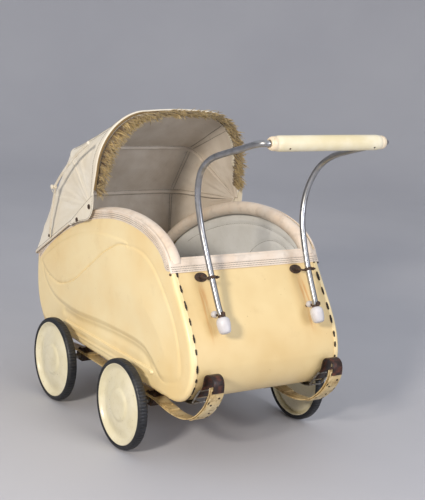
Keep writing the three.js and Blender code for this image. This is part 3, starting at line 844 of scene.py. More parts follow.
# ---- wheels ------------------------------------------------------------------------------
DISC_FACE = [
    (0.5, 3), (15, 2.8), (29, 2.3), (35, 1.7), (38.5, 0.4), (41, -1.7), (44, -2.9), (52, -3.4),
    (62, -4.7), (72, -7.2), (80, -9.6), (84, -10), (87.5, -9.2), (91.5, -6.0), (95, -1.6),
    (96.4, -0.2), (97.6, 0.1), (98.7, -0.4), (99, -1.6),
]
DISC_BACK = [
    (99, -20.4), (98.2, -21), (97, -20.4), (96.6, -4), (93, -6.4), (88.5, -11.4), (84, -12.6),
    (78, -11.4), (66, -7.8), (45, -5.2), (38, -2.4), (30, -1), (17, -1), (14, -3), (13, -6), (13, -36),
    (12, -37), (8, -37), (7.5, -36), (7.5, -7),
]
TYRE_SECTION = [
    (99.4, 0.2), (100.6, 1.3), (102.5, 2), (103.8, 1.6), (104.3, 0.9), (105, 1.2), (106.8, 0.6),
    (108.8, -1.4), (110.1, -4), (110.6, -7), (110.6, -11), (110.6, -15), (110.1, -18),
    (108.8, -20.6), (106.8, -22.2),
    (105, -23), (104.3, -22.6), (103.6, -23.3), (101, -23.4), (99.4, -22),
]
TREAD = slice(7, 14)  # the points of that section which run on the ground
TREAD_R = 110.6
TREAD_NOTCH = 0.9


def wheels():
    """Pressed discs under moulded tyres, each tread notched in fine cross ribs as it was moulded."""
    for end, _ in ENDS:
        for side, sign in SIDES:
            wheel = f"wheel_{end}_{side}"
            centre = np.array((sign * WHEEL_FACE_X, AXLE_Y[end], AXLE_Z))
            profile = np.vstack([spline(DISC_FACE, 70), DISC_BACK])
            disc = Shape().lathe(profile, centre, sign, 96)
            disc.faces.append(tuple(range(96)))
            disc.coats.append(0)
            disc.piece(
                f"wheel_pressing_{end}_{side}", DISC_PAINT, wheel, [f"wheel_disc_{end}_{side}"],
                "ivory_enamel",
            )
            rings = turned(TYRE_SECTION, (0, 0, 0), sign, 320)
            rings[TREAD, ::4, 1:] *= 1 - TREAD_NOTCH / TREAD_R
            rings = rings + centre
            tyre = Shape().grid(np.vstack([rings, rings[:1]]), around=True)
            tyre.piece(
                f"tyre_moulding_{end}_{side}", TYRE_RUBBER, wheel, [f"tyre_{end}_{side}"], "tyre_rubber"
            )
            washer = [(7.6, -37.2), (13, -37.2), (13, -38.6), (7.6, -38.6), (7.6, -37.2)]
            hub = Shape().lathe(washer, centre, sign, 32)
            hub.tube([centre + (-sign * 40, 0, -11), centre + (-sign * 40, 0, 12)], 1.2, 8)
            hub.piece(f"hub_washer_and_pin_{end}_{side}", STEEL, wheel, slot="bare_steel")


wheels()


# ---- rims: leathercloth bands with sewn lines, and padded rolls --------------------------
def sewn(shape, path, outward, pitch=4.4, stitch=3.2, radius=0.5, coat=0):
    """A row of short raised stitches along a line on a surface."""
    count = max(int(length_of(path) // pitch), 1)
    dense = even(path, count * 4 + 1)
    steps = np.linspace(0, len(path) - 1, count * 4 + 1)
    outward, index = np.asarray(outward), np.arange(len(path))
    out = np.stack([np.interp(steps, index, outward[:, k]) for k in range(3)], -1)
    for k in range(count):
        a, b = dense[4 * k], dense[4 * k + 4]
        lift = unit(out[4 * k + 2])
        ahead = unit(b - a)
        across = np.cross(lift, ahead)
        middle_point = (a + b) / 2
        rings = []
        for reach, height in ((-0.5, -0.15), (-0.25, 0.5), (0.25, 0.5), (0.5, -0.15)):
            spot = middle_point + ahead * stitch * reach + lift * radius * height * 2
            diamond = ((1, 0), (0, 0.8), (-1, 0), (0, -0.8))
            rings.append([spot + radius * (c * across + d * lift) for c, d in diamond])
        shape.grid(np.array(rings), around=True, coat=coat, caps=True)
    return shape


# Out from the panel and up from the rim: the bead, three sewn grooves and the turned edge.
BAND_SECTION = [
    (-3, 3.2), (-1, 3.9), (1.1, 3.4), (2.5, 2), (3, 0), (2.5, -1.9), (1.5, -2.9), (2.4, -3.8), (2.7, -5.4),
    (1.6, -6.3), (2.6, -7.2), (2.7, -9.8), (1.6, -10.8), (2.6, -11.8), (2.7, -14.4), (1.6, -15.4),
    (2.5, -16.4), (2.5, -18.6), (2, -19.8), (0.9, -20.2), (0.4, -19.6), (0.4, -2), (-1, 1.4), (-3, 1.2),
]
SEWN_ROWS = (-6.3, -10.8, -15.4)


def side_rims():
    line = even(rim_line, 260)
    up = square_to(line)
    section = np.array(BAND_SECTION)
    first = math.atan2(up[2][1], up[2][0])
    turns = np.linspace(math.atan2(0.87, 0.49), first, 14)
    hem = np.vstack([np.repeat(line[:1], 14, 0) + (0.6, -1.2), line[2:]])
    fall = np.vstack([np.column_stack([np.cos(turns), np.sin(turns)]), up[2:]])
    for side, sign in SIDES:
        rings = []
        for point, normal in zip(hem, fall):
            ring = point + section[:, 1:] * normal
            rings.append(np.column_stack([sign * (BODY_HALF + section[:, 0]), ring]))
        band = Shape().grid(np.array(rings), around=True, caps=True)
        band = band.piece(
            f"rim_band_cloth_{side}", RIM_CLOTH, "pram_body", [f"side_rim_band_{side}"], "leathercloth"
        )
        stitching = Shape()
        for row in SEWN_ROWS:
            sewn_line = at_x((hem + fall * row)[1:-1], sign * (BODY_HALF + 1.9))
            sewn(stitching, sewn_line, np.tile((sign, 0, 0), (len(sewn_line), 1)), radius=0.55)
        thread = stitching.piece(f"rim_band_stitching_{side}", THREAD, "pram_body", slot="leathercloth")

        stop = 254
        path = (line - up * 9)[:stop]
        path = np.vstack([path[0] - unit(path[1] - path[0]) * np.array([[7], [4], [1.5]]), path[1:]])
        sizes = 1 + 0.012 * np.array([wobble((0, *p), 26, 5.5 + sign) for p in path])
        from_end = np.minimum(np.arange(len(path)), np.arange(len(path))[::-1])
        sizes *= np.minimum(1, 0.9 + 0.1 * np.sqrt(from_end / 4))
        roll = Shape().grid(
            swept(at_x(path, sign * ROLL_X), circle(ROLL_R, 40), (1, 0, 0), sizes), around=True, caps=True
        )
        seam = path[2:] + up[:stop] * 3
        roll.tube(at_x(seam, sign * (ROLL_X + ROLL_R - 1.2)), 1.6, 8)
        roll = roll.piece(
            f"rim_roll_padded_{side}", RIM_CLOTH, "pram_body", [f"side_rim_roll_{side}"], "leathercloth"
        )

        nails = Shape()
        ahead = unit(path[0] - path[1])
        nails.dome((sign * (ROLL_X - 9), *(path[0] + ahead * 0.2 + up[0] * 4)), (0, *ahead), 1.8, 1.2)
        nails.dome((sign * (BODY_HALF + 2), REAR_TOP[0] - 12.5, REAR_TOP[1] - 26), (sign, -0.3, 0), 3.2, 2.2)
        nails.piece(f"rim_tacks_{side}", RUST, "pram_body", slot="rusted_steel")


# Down from the rim and out from the end panel: roll foot, bead, sewn grooves and piped edge.
REAR_BAND_SECTION = [
    (-6, -7.5), (-6.4, -3), (-5.4, 0.8), (-3, 3), (1, 4), (6, 4.1), (10, 3.6), (12.2, 2.7), (13.2, 1.7),
    (14.2, 2.6), (17.4, 2.8), (18.4, 1.8), (19.4, 2.7), (22.2, 2.8), (23.2, 1.8), (24, 2.7), (25.4, 3.2),
    (26.9, 2.8), (27.6, 1.6), (27.2, 0.5), (12, 0.4), (-3, 0.2),
]
REAR_SEWN = (13.2, 18.4, 23.2)


def rear_rim():
    line = even(rear_line, 400)
    out = -square_to(line)
    step = length_of(line) / 399
    section = np.array(REAR_BAND_SECTION)
    index = np.clip(section[:, 0] / step, 0, 399)
    foot = np.stack([np.interp(index, np.arange(400), line[:, k]) for k in (0, 1)], -1)
    away = np.stack([np.interp(index, np.arange(400), out[:, k]) for k in (0, 1)], -1)
    ahead = unit(line[1] - line[0])
    foot += np.minimum(section[:, :1], 0) * ahead
    half = BODY_HALF + 2.2
    rings = []
    for x in np.linspace(-half, half, 120):
        tuck = 1 - 0.75 * max(0, (abs(x) - half + 2.4) / 2.4) ** 2
        ripple = 1 + 0.06 * wobble((x, 0, 0), 18, 2.2)
        ring = foot + away * section[:, 1:] * tuck * ripple
        rings.append(np.column_stack([np.full(len(section), x), ring]))
    band = Shape().grid(np.array(rings), around=True, caps=True)
    band = band.piece("rear_rim_band_cloth", RIM_CLOTH, "pram_body", ["rear_rim_band"], "leathercloth")
    stitching = Shape()
    for row in REAR_SEWN:
        k = int(round(row / step))
        spot = line[k] + out[k] * 2.1
        path = np.column_stack([np.linspace(-half + 3, half - 3, 80), np.tile(spot, (80, 1))])
        sewn(stitching, path, np.tile((0, *out[k]), (80, 1)), radius=0.55)
    thread = stitching.piece("rear_rim_stitching", THREAD, "pram_body", slot="leathercloth")

    half = ROLL_X - ROLL_R + 3
    x = np.linspace(-half, half, 90)
    path = np.column_stack([x, np.full(90, REAR_TOP[0] + 10.3), np.full(90, REAR_TOP[1] + 0.4)])
    sizes = np.minimum(1, 0.8 + 0.2 * np.sqrt((half - np.abs(x)) / 4))
    sizes = sizes * [1 + 0.02 * wobble((v, 0, 0), 30, 8) for v in x]
    roll = Shape().grid(swept(path, circle(5.8, 28, 1.12), (0, 1, 0), sizes), around=True, caps=True)
    roll = roll.piece("rear_rim_roll_padded", RIM_CLOTH, "pram_body", ["rear_rim_roll"], "leathercloth")


side_rims()
rear_rim()


# ---- lining boards -----------------------------------------------------------------------
LINING_FOOT = [(-300, 205), (-255, 176), (380, 172), (440, 195), (470, 300), (468, 318)]
LINING_REAR = [(-245, 380), (-318, 290)]
LINING_SEAM = [(-196, 398), (-140, 448), (-75, 470), (-20, 462), (35, 428), (70, 380), (84, 320), (80, 250)]


def linings():
    """Thinly padded boards of glazed cotton inside the side panels, with two sewn arcs."""
    line = even(rim_line, 200)
    below = line - square_to(line) * 20
    loop = np.vstack([LINING_FOOT, below[24:176][::-1], LINING_REAR])
    loop = even(loop, 260, closed=True)
    heart = np.array((70, 320))
    rows = np.array([heart + (loop - heart) * r for r in np.linspace(0.01, 1, 60)])
    flat = rows.reshape(-1, 2)
    seams = [line - square_to(line) * 52, spline(LINING_SEAM, 80)]
    edge = distance_to(np.vstack([loop, loop[:1]]), flat)
    puff = 4.2 * ramp(edge, 26)
    for seam in seams:
        puff -= 2.2 * np.exp(-((distance_to(seam, flat) / 3.5) ** 2))
    puff = np.maximum(puff, 0.0).reshape(rows.shape[:2])
    for side, sign in SIDES:
        slack = np.array([wobble((0, *p), 40, 9 * sign) for p in flat]).reshape(puff.shape)
        x = sign * (204.6 - puff + 0.5 * slack)
        back = np.column_stack([np.full(len(loop), sign * 207.4), loop])
        grid = np.vstack([np.dstack([x, rows[..., 0], rows[..., 1]]), back[None]])
        board = Shape().grid(grid, around=True, caps=True, uv=np.dstack([grid[..., 1], grid[..., 2]]) * MM)
        board = board.piece(f"lining_board_{side}", LINING, "pram_body", [f"lining_{side}"], "lining_cloth")
        stitching = Shape()
        for seam in (seams[0][10:-30], seams[1]):
            sewn(stitching, at_x(seam, sign * 202.8), np.tile((-sign, 0, 0), (len(seam), 1)), radius=0.6)
        stitching.piece(f"lining_stitching_{side}", THREAD, "pram_body", slot="lining_cloth")


linings()


# ---- chassis -----------------------------------------------------------------------------
STRIP_Z = AXLE_Z + 7.3
SPRING_CURL = [
    (-20, STRIP_Z), (20, STRIP_Z), (60, 113), (107, 110), (157, 115.5),
    (201, 134), (238, 169), (258, 204), (262, 226),
]
RAGGED = (1, 0.7, 1.1, 0.8, 1.2, 0.7, 1, 0.8, 1.1, 0.7, 1)
STRAP_ROUTE = [(-388.5, 196), (-390.5, 234), (-378, 249), (-357, 243), (-349, 215), (-330, 186)]


def springs():
    """Flat steel strips curled up at both ends, with a short second leaf over each axle."""
    rear = [(REAR_AXLE_Y - out, z) for out, z in SPRING_CURL][::-1]
    front = [(AXLE_Y["front"] + out, z) for out, z in SPRING_CURL]
    line = spline([*rear, *front], 260)
    line = line + square_to(line) * 1.5
    for side, sign in SIDES:
        x = sign * SPRING_X
        strip = Shape().bar(at_x(line, x), SPRING_WIDTH, 3, (1, 0, 0), bevel=0.9)
        for end, along in ENDS:
            tip = line[:34] if along < 0 else line[-34:][::-1]
            away = square_to(tip)
            away = away * np.sign(away[:, :1] * along)
            tip = tip + away * np.linspace(8.6, 3.6, 34)[:, None]
            strip.bar(at_x(tip, x), SPRING_WIDTH + 1, 2, (1, 0, 0), bevel=0.7)
            for k, out in ((6, 8), (11, -7), (20, 5)):
                strip.dome((x + out, *(tip[k] + away[k])), (0, *away[k]), 2.8, 1.8, coat=1)
            worn = ((2, -15, 3.4), (9, -16, 4.2), (14, 15.5, 3), (24, -15.5, 3.6), (27, 14, 4.4))
            for k, out, size in worn:
                spot, ahead = tip[k] + away[k] * 1.02, unit(tip[k + 1] - tip[k])
                ring = [
                    (x + out + size * 0.5 * math.cos(a) * b, *(spot + ahead * size * 1.4 * math.sin(a) * b))
                    for a, b in zip(np.linspace(0, 6, 11), RAGGED)
                ]
                ring = np.array(ring)
                strip.grid(np.array([ring, ring + (0, *(away[k] * 0.35))]), around=True, coat=1, caps=True)
        strip.piece(
            f"spring_strip_rolled_{side}", [SPRING_PAINT, CHIP_AND_HOLE_SHADE], "chassis", [f"spring_strip_{side}"],
            "painted_spring_steel",
        )
        for end, along in ENDS:
            near = np.abs(line[:, 0] - AXLE_Y[end] - along * 28) < 66
            leaf = line[near] + square_to(line)[near] * 3.2
            shape = Shape().bar(at_x(leaf, x), SPRING_WIDTH - 4, 2.6, (1, 0, 0), bevel=0.8)
            for out in (-9, 9):
                tip = leaf[6] if along < 0 else leaf[-7]
                shape.dome((x + out, tip[0], tip[1] + 1.2), (0, 0, 1), 2.8, 1.6)
            shape.piece(
                f"spring_second_leaf_{end}_{side}", SPRING_PAINT, "chassis", slot="painted_spring_steel"
            )


def axles():
    """Steel axle bars under forged saddles, each saddle pulled up by two bolts."""
    for end, _ in ENDS:
        y = AXLE_Y[end]
        reach = WHEEL_FACE_X - 10
        bar = [(0.4, -reach), (6.2, -reach), (7, -reach + 1), (7, reach - 1), (6.2, reach), (0.4, reach)]
        axle = Shape().lathe(bar, (0, y, AXLE_Z), 1, 32, caps=True)
        axle.piece(f"axle_bar_{end}", STEEL, "chassis", [f"axle_{end}"], "bare_steel")
        for side, sign in SIDES:
            x = sign * SPRING_X
            bolts = Shape()
            for dx in (-11, 11):
                for dy in (-15.5, 15.5):
                    hexagon = circle(4.3, 6)
                    for low, high in ((STRIP_Z + 6.4, STRIP_Z + 9.8), (STRIP_Z - 10.5, STRIP_Z - 7.4)):
                        nut = hexagon + (x + dx, y + dy)
                        rings = [np.column_stack([nut, np.full(6, z)]) for z in (low, high)]
                        bolts.grid(np.array(rings), around=True, caps=True)
                    bolts.tube([(x + dx, y + dy, STRIP_Z - 12), (x + dx, y + dy, STRIP_Z + 12)], 2.1, 10)
            plate = np.array([(x, y + t, STRIP_Z + 6) for t in np.linspace(-21, 21, 9)])
            bolts.bar(plate, SPRING_WIDTH - 5, 1.6, (1, 0, 0), bevel=0.5)
            bolts.piece(f"axle_clamp_bolts_{end}_{side}", RUST, "chassis", slot="rusted_steel")


def straps():
    """Leather loops over the spring ends, held to the tub's corners by iron loops."""
    route = spline(STRAP_ROUTE, 90)[12:]
    route = route + square_to(route) * 1.7
    for end, along in ENDS:
        for side, sign in SIDES:
            x = sign * SPRING_X
            line = route if along < 0 else np.column_stack([2 * MIDDLE_Y - route[:, 0], route[:, 1]])
            strap = Shape().bar(at_x(line, x), STRAP_WIDTH, 3.4, (1, 0, 0), bevel=1.2)
            flip = (lambda y: y) if along < 0 else (lambda y: 2 * MIDDLE_Y - y)
            tongue = [(x + 10 + 5.5 * k, flip(-346 + 0.6 * k * k), 212 - 0.7 * k) for k in range(5)]
            strap.bar(tongue, 13, 2.4, (0, 0.1, 1), bevel=0.9)
            made = strap.piece(
                f"strap_loop_{end}_{side}", LEATHER, None, [f"strap_{end}_{side}"], "strap_leather"
            )
            top, foot = to_frame([(x, flip(-378), 244), (x, flip(-340), 200)])
            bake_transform(made)

            half = STRAP_WIDTH / 2 + 3.5
            low, high = np.array((flip(-318), 171)), np.array((flip(-343), 207))
            corners = [(-half, 0), (-half, 0.85), (-half + 4, 1), (half - 4, 1), (half, 0.85), (half, 0)]
            wire = spline([(x + u, *(low + (high - low) * v)) for u, v in corners], 60)
            ring = Shape().tube(wire, 2.6, 12)
            bend = ((-321, 170), (-306, 162.5), (-288, 159.6), (-262, 159.3))
            bend = spline([(flip(y), z) for y, z in bend], 24)
            ring.bar(at_x(bend, x), 30, 2, (1, 0, 0), bevel=0.6)
            for dx in (-8, 8):
                ring.dome((x + dx, flip(-276), 158.4), (0, 0, -1), 3.4, 1.8)
            ring.piece(
                f"strap_iron_loop_{end}_{side}", STEEL, "pram_body", [f"strap_ring_{end}_{side}"],
                "bare_steel",
            )


springs()
axles()
straps()


# ---- handle ------------------------------------------------------------------------------
HANDLE_ARM = [
    (134, -332, 374), (137, -326, 384), (139, -282, 464), (144, -245, 546), (149, -234, 590),
    (156, -232, 632), (163, -243, 672), (168, -263, 703), (171, -298, 728), (172, -345, 746),
    (173, -420, 769), (174, -466, 784), (170, -484, 788.5), (160, -490, 789), (150, -490, 789),
]
GRIP_Y, GRIP_Z = -490, 789
ARM_LEAN = 0.51
GRIP_PROFILE = [
    (7.7, -155), (9.4, -156.6), (12.1, -155.4), (14.1, -152.4), (15.2, -148), (15.4, -144.6), (14.7, -142.2),
    (14.9, -141), (15.9, -138.6), (16.7, -133), (17, -126), (17, -100), (17.1, -60), (17.15, 0),
]
FERRULE_PROFILE = [
    (0.4, -20.4), (6.5, -20), (10.6, -18.6), (13.2, -15.4), (14.6, -10), (15.6, -2), (16, 5), (15.4, 10.5),
    (13.4, 14.8), (11, 17), (9, 18), (7.6, 18.2), (7.4, 17),
]


def spun(profile, centre, ahead, sides=40):
    """Rings of (radius, distance) pairs along any direction."""
    ahead = unit(np.array(ahead, float))
    across = unit(np.cross(ahead, (1, 0.02, 0.03)))
    up = np.cross(ahead, across)
    ring = circle(1, sides)
    spokes = ring[:, :1] * across + ring[:, 1:] * up
    return np.array([np.array(centre) + ahead * d + r * spokes for r, d in profile])


def handle():
    """A bent, plated tube with a painted grip, clipped near the rim and footed in rubber."""
    left = [(-x, y, z) for x, y, z in HANDLE_ARM[::-1]]
    path = spline([*HANDLE_ARM, (50, GRIP_Y, GRIP_Z), (-50, GRIP_Y, GRIP_Z), *left], 420)
    for _ in range(14):
        path[1:-1] = (path[:-2] + 2 * path[1:-1] + path[2:]) / 4
    tube = Shape().tube(path, TUBE_R, 28)
    tube.piece("handle_tube_plated", CHROME, "pram_body", ["handle_tube"], "chrome_tube")

    half = GRIP_PROFILE + [(r, -x) for r, x in GRIP_PROFILE[-2::-1]]
    outer = spline(half, 170)
    profile = np.vstack([outer, [(7.55, 155), (7.55, -155)], outer[:1]])
    grip = Shape().lathe(profile, (0, GRIP_Y, GRIP_Z), 1, 56)
    grip.piece("grip_turned", GRIP_PAINT, "pram_body", ["grip"], "painted_wood")
    pin = Shape()
    for x in (-112, 118):
        pin.dome((x, GRIP_Y - 14.3, GRIP_Z - 9.2), (0, -0.84, -0.54), 2.2, 1.0)
    pin.piece("grip_pins", RUST, "pram_body", slot="rusted_steel")

    lean = np.array((0, math.sin(ARM_LEAN), math.cos(ARM_LEAN)))
    face = np.array((0, -math.cos(ARM_LEAN), math.sin(ARM_LEAN)))
    wall = even(rear_line, 300)
    out = -square_to(wall)
    for side, sign in SIDES:
        centre = np.array((sign * 134, -342.5, 356))
        ferrule = Shape().grid(spun(spline(FERRULE_PROFILE, 60), centre, lean), around=True, caps=True)
        ferrule.piece(
            f"handle_ferrule_moulded_{side}", WHITE_RUBBER, "pram_body", [f"handle_ferrule_{side}"],
            "white_rubber",
        )
        ball = [(0.3, -8), (3.5, -7.6), (6, -6), (7.6, -3), (8, 0), (7.6, 3), (6, 6), (3.5, 7.6), (0.3, 8)]
        to_wall = (0, 0.93, -0.37)
        rings = spun(spline(ball, 30), (sign * 137, -305.5, 372), to_wall)
        Shape().grid(rings, around=True, caps=True).piece(
            f"handle_spacer_moulded_{side}", WHITE_RUBBER, "pram_body", [f"handle_spacer_{side}"],
            "white_rubber",
        )
        bolt = Shape()
        start = np.array((sign * 136.5, -331, 379))
        bolt.tube([start + np.array(to_wall) * d for d in (-8.5, 5, 20, 44)], 2.6, 12)
        head = [(6, -10.4), (6.2, -9.6), (6.2, -8), (5.6, -6.9)]
        bolt.grid(spun(head, start, to_wall, 6), around=True, caps=True)
        collar = [(7.3, 8), (8.7, 8.4), (8.8, 14), (7.6, 15)]
        seat = np.array((sign * 134.6, -342.5, 356)) + lean * 9
        bolt.grid(spun(collar, seat, lean, 28), around=True, caps=True)
        bolt.piece(f"handle_foot_bolt_{side}", RUST, "pram_body", slot="rusted_steel")

        clip = Shape()
        spot = int(np.argmin(np.abs(wall[:, 1] - 443)))
        base = np.array((sign * 137, *wall[spot]))
        normal = np.array((0, *out[spot]))
        down = np.array((0, *unit(wall[spot + 1] - wall[spot])))
        rings = []
        for grow, lift in ((1, 0.2), (1.02, 1.4), (0.9, 2.6), (0.5, 3.3), (0.06, 3.5)):
            oval = circle(17 * grow, 40, 0.68)
            rings.append(base + normal * lift + oval[:, :1] * (1, 0, 0) + oval[:, 1:] * down)
        clip.grid(np.array(rings), around=True, caps=True)
        for dx in (-10, 10):
            clip.dome(base + normal * 2.2 + (dx, 0, 0), normal, 3.3, 2.0)
        eye = np.array((sign * 139, -287.5, 454))
        clip.bar(np.linspace(base + normal * 1.5, eye - face * 10, 12), 11, 3.2, (1, 0, 0), bevel=1)
        ring = [(0.4, -3.4), (2, -3.4), (2.9, -2.4), (2.9, 2.4), (2, 3.4), (0.4, 3.4), (0.4, -3.4)]
        clip.grid(spun([(TUBE_R + r, d) for r, d in ring], eye, lean, 36), around=True)
        clip.tube([eye + (TUBE_R + 2, 0, 0), eye + (TUBE_R + 13, 0, 0)], 2.2, 12)
        nut = [(3.6, TUBE_R + 5), (3.9, TUBE_R + 5.4), (3.9, TUBE_R + 8.4), (3.6, TUBE_R + 9)]
        clip.grid(spun(nut, eye, (1, 0, 0), 6), around=True, caps=True)
        clip.piece(f"handle_clip_{side}", RUST, "pram_body", [f"handle_bracket_{side}"], "rusted_steel")


handle()


# ---- hood --------------------------------------------------------------------------------
# Each bow is an arch in a plane through the pivots, `deg` above the level.
FRONT_BOW = dict(deg=94.6, half=219, reach=245, corner_x=130, corner_r=150, crown=4)
MIDDLE_BOW = dict(deg=30.2, half=202, reach=238, corner_x=45, corner_r=55, crown=2)
BACK_BOW = dict(deg=-4.8, half=202, reach=298, corner_x=42, corner_r=50, crown=2)
HEM = dict(deg=-30.6, half=221.5, reach=385, corner_x=12, corner_r=12, crown=0)
SIDE_SHARE, CORNER_SHARE = 0.45, 0.27
CLOTH = 1.6


def bow_line(bow, t):
    """An arch from the left pivot, t = 0, up the side, round the corner and over to t = 1."""
    t = np.asarray(t, float)
    v = 1 - np.abs(2 * t - 1)
    side, flat = bow["reach"] - bow["corner_r"], bow["half"] - bow["corner_x"]
    turn = np.clip((v - SIDE_SHARE) / CORNER_SHARE, 0, 1) * math.pi / 2
    k = np.clip((1 - v) / (1 - SIDE_SHARE - CORNER_SHARE), 0, 1)
    low, high = v < SIDE_SHARE, v >= SIDE_SHARE + CORNER_SHARE
    out = np.where(high, bow["reach"] + bow["crown"] * (1 - k * k), side + bow["corner_r"] * np.sin(turn))
    out = np.where(low, side * v / SIDE_SHARE, out)
    x = np.where(high, flat * k, flat + bow["corner_x"] * np.cos(turn))
    x = np.where(low, PIVOT_HALF + (bow["half"] - PIVOT_HALF) * out / side, x)
    a = math.radians(bow["deg"])
    return np.stack([np.where(t < 0.5, -x, x), PIVOT_Y + out * math.cos(a), PIVOT_Z + out * math.sin(a)], -1)


def even_t(bow, count, start=0.012):
    """Values of t that are evenly spaced along an arch."""
    dense = np.linspace(start, 1 - start, 1200)
    steps = np.linalg.norm(np.diff(bow_line(bow, dense), axis=0), axis=1)
    run = np.concatenate([[0], np.cumsum(steps)])
    return np.interp(np.linspace(0, run[-1], count), run, dense)


def ruled(low, high, t, k):
    """Points of the cloth between two bows; k runs from 0 at the lower to 1 at the upper."""
    a, b = bow_line(low, t), bow_line(high, t)
    return a + (b - a) * np.asarray(k)[..., None]


def outward(points):
    """Unit normals of a grid whose rows run up from bow to bow and columns from left to right."""
    return unit(np.cross(np.gradient(points, axis=0), np.gradient(points, axis=1)))


def fold_between(made):
    """Bakes a hood piece's placing into its mesh."""
    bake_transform(made)
    return made


def stretched_cloth(low, high, t, k, sag, seed):
    """The cloth between two bows, hollow on the roof, with folds that fan out from the pivots."""
    points = ruled(low, high, t[None], np.broadcast_to(k[:, None], (len(k), len(t))))
    normals = outward(points)
    v = 1 - np.abs(2 * t - 1)
    roof = ramp(v - 0.5, 0.3)
    pinned = np.minimum(1, 7 * k * (1 - k))[:, None]
    run = np.linspace(0, 800, len(t))
    width = 150 + 60 * abs(seed)
    folds = np.array([[wobble((s * 0.22, r * width, 0), 24, seed) for s in run] for r in k])
    creases = np.array([[wobble((s * 0.8, r * width + s * 0.4, 9), 17, seed + 3) for s in run] for r in k])
    height = -sag * (4 * k * (1 - k))[:, None] * (0.25 + 0.75 * roof)
    height = height + pinned * (folds * (1.7 - 0.7 * roof) + creases * 0.45)
    seam = np.exp(-(((v - 0.6) / 0.008) ** 2))
    height = height + 0.9 * seam[None] * pinned
    return points + normals * height[..., None], normals


def hood_panels():
    """Front, middle and back cloths, cut between the bows and joined to side gores by twin seams."""
    cuts = (
        ("front", MIDDLE_BOW, FRONT_BOW, "middle_bow", "front_bow", 3.6, 0.11),
        ("middle", BACK_BOW, MIDDLE_BOW, "back_bow", "middle_bow", 3.0, 0.42),
        ("back", HEM, BACK_BOW, "pram_body", "back_bow", 2.4, 0.73),
    )
    t = even_t(MIDDLE_BOW, 190)
    k = np.linspace(0, 1, 36)
    for name, low, high, low_body, high_body, sag, seed in cuts:
        points, normals = stretched_cloth(low, high, t, k, sag, seed)
        width = length_of(points[18])
        depth = np.linalg.norm(points[-1] - points[0], axis=-1).mean()
        down = np.linspace(0, depth, len(k)) + 400 * seed
        uv = np.stack(np.meshgrid(np.linspace(0, width, len(t)), down), -1) * MM
        cloth = Shape().grid(points[::-1], uv=uv[::-1])
        cloth = cloth.piece(
            f"hood_{name}_panel", [HOOD_OUTSIDE, HOOD_INSIDE], None, [f"hood_cloth_{name}"], "hood_cloth",
            smooth=80, closed=False,
        )
        thickened(cloth, CLOTH, -1, 1)
        fold_between(cloth)
        seams = Shape()
        v = 1 - np.abs(2 * t - 1)
        for half in (t < 0.5, t > 0.5):
            for offset in (0.588, 0.612):
                column = int(np.argmin(np.where(half, np.abs(v - offset), 9)))
                line, lift = points[2:-2, column], normals[2:-2, column]
                sewn(seams, line + lift * 0.2, lift, radius=0.45)
                sewn(seams, line - lift * (CLOTH + 0.3), -lift, radius=0.65)
        seams = seams.piece(f"hood_{name}_seam_stitching", THREAD, slot="hood_cloth")
        fold_between(seams)


hood_panels()


def narrowed(bow, t):
    """The share of its full width that a casing keeps, from 1 on the roof to 0.2 at the pivots."""
    away = np.linalg.norm(bow_line(bow, t)[:, 1:] - (PIVOT_Y, PIVOT_Z), axis=1)
    return np.clip(away / 105, 0.2, 1)


def lapped(bow, lower, upper, t, section):
    """Rings across a bow: each (distance, height) pair lies that far on the cloth beyond the bow
    (behind it where the distance is negative) and that high over its outer face."""
    rows = []
    tangent = unit(np.gradient(bow_line(bow, t), axis=0))
    sides = {}
    for key, other in (("lower", lower), ("upper", upper)):
        if other is None:
            continue
        chord = bow_line(other, t) - bow_line(bow, t)
        reach = np.maximum(np.linalg.norm(chord, axis=1), 22)
        sides[key] = chord / reach[:, None]
    a = math.radians(bow["deg"])
    spare = np.array((0, -math.sin(a), math.cos(a)))
    ahead = sides.get("upper", np.broadcast_to(spare, tangent.shape))
    behind = sides.get("lower", -np.broadcast_to(spare, tangent.shape))
    if "upper" not in sides:
        ahead = -behind
    if "lower" not in sides:
        behind = -ahead
    size = narrowed(bow, t)[:, None]
    over = unit(np.cross(ahead, tangent))
    under = unit(np.cross(-behind, tangent))
    for distance, height in section:
        share = min(max(0.5 + distance / 12, 0), 1)
        lift = unit(over * share + under * (1 - share))
        step = ahead * distance if distance > 0 else behind * -distance
        rows.append(bow_line(bow, t) + (step + lift * height) * size)
    return np.stack(rows, axis=1)


CASING = [
    (-9, -0.8), (-7.5, -0.3), (-6, 0.1), (-4.5, 0.5), (-2.5, 1.0), (0, 1.3), (2.5, 1.0), (4.5, 0.5),
    (6, 0.1), (7.5, -0.3), (9, -0.8), (9.2, -2.4), (8, -2.9), (6, -3.0), (5, -7.0), (3, -9.6),
    (0, -10.6), (-3, -9.6), (-5, -7.0), (-6, -3.0), (-8, -2.9), (-9.2, -2.4),
]
FRONT_BINDING = [
    (-24, -0.8), (-24.2, 0.5), (-22.5, 1.1), (-9, 1.1), (-7, 0.7), (-5, 1.6), (-1, 2.0), (2, 0.8),
    (4, -2.0), (4.4, -5.5), (3, -8.8), (-0.5, -10.6), (-4.5, -10.4), (-8, -8.4), (-10, -5.0),
    (-12, -3.4), (-26, -3.0), (-31, -3.0), (-32, -2.4), (-31, -1.8),
]
HEM_BINDING = [
    (11, -0.8), (11.2, 0.5), (9.5, 1.1), (6, 1.0), (1, 1.4), (-1.6, 0.8), (-2.6, -1.2), (-1.6, -3.2),
    (1, -3.6), (6, -2.9), (9.5, -2.9), (11.2, -2.2),
]


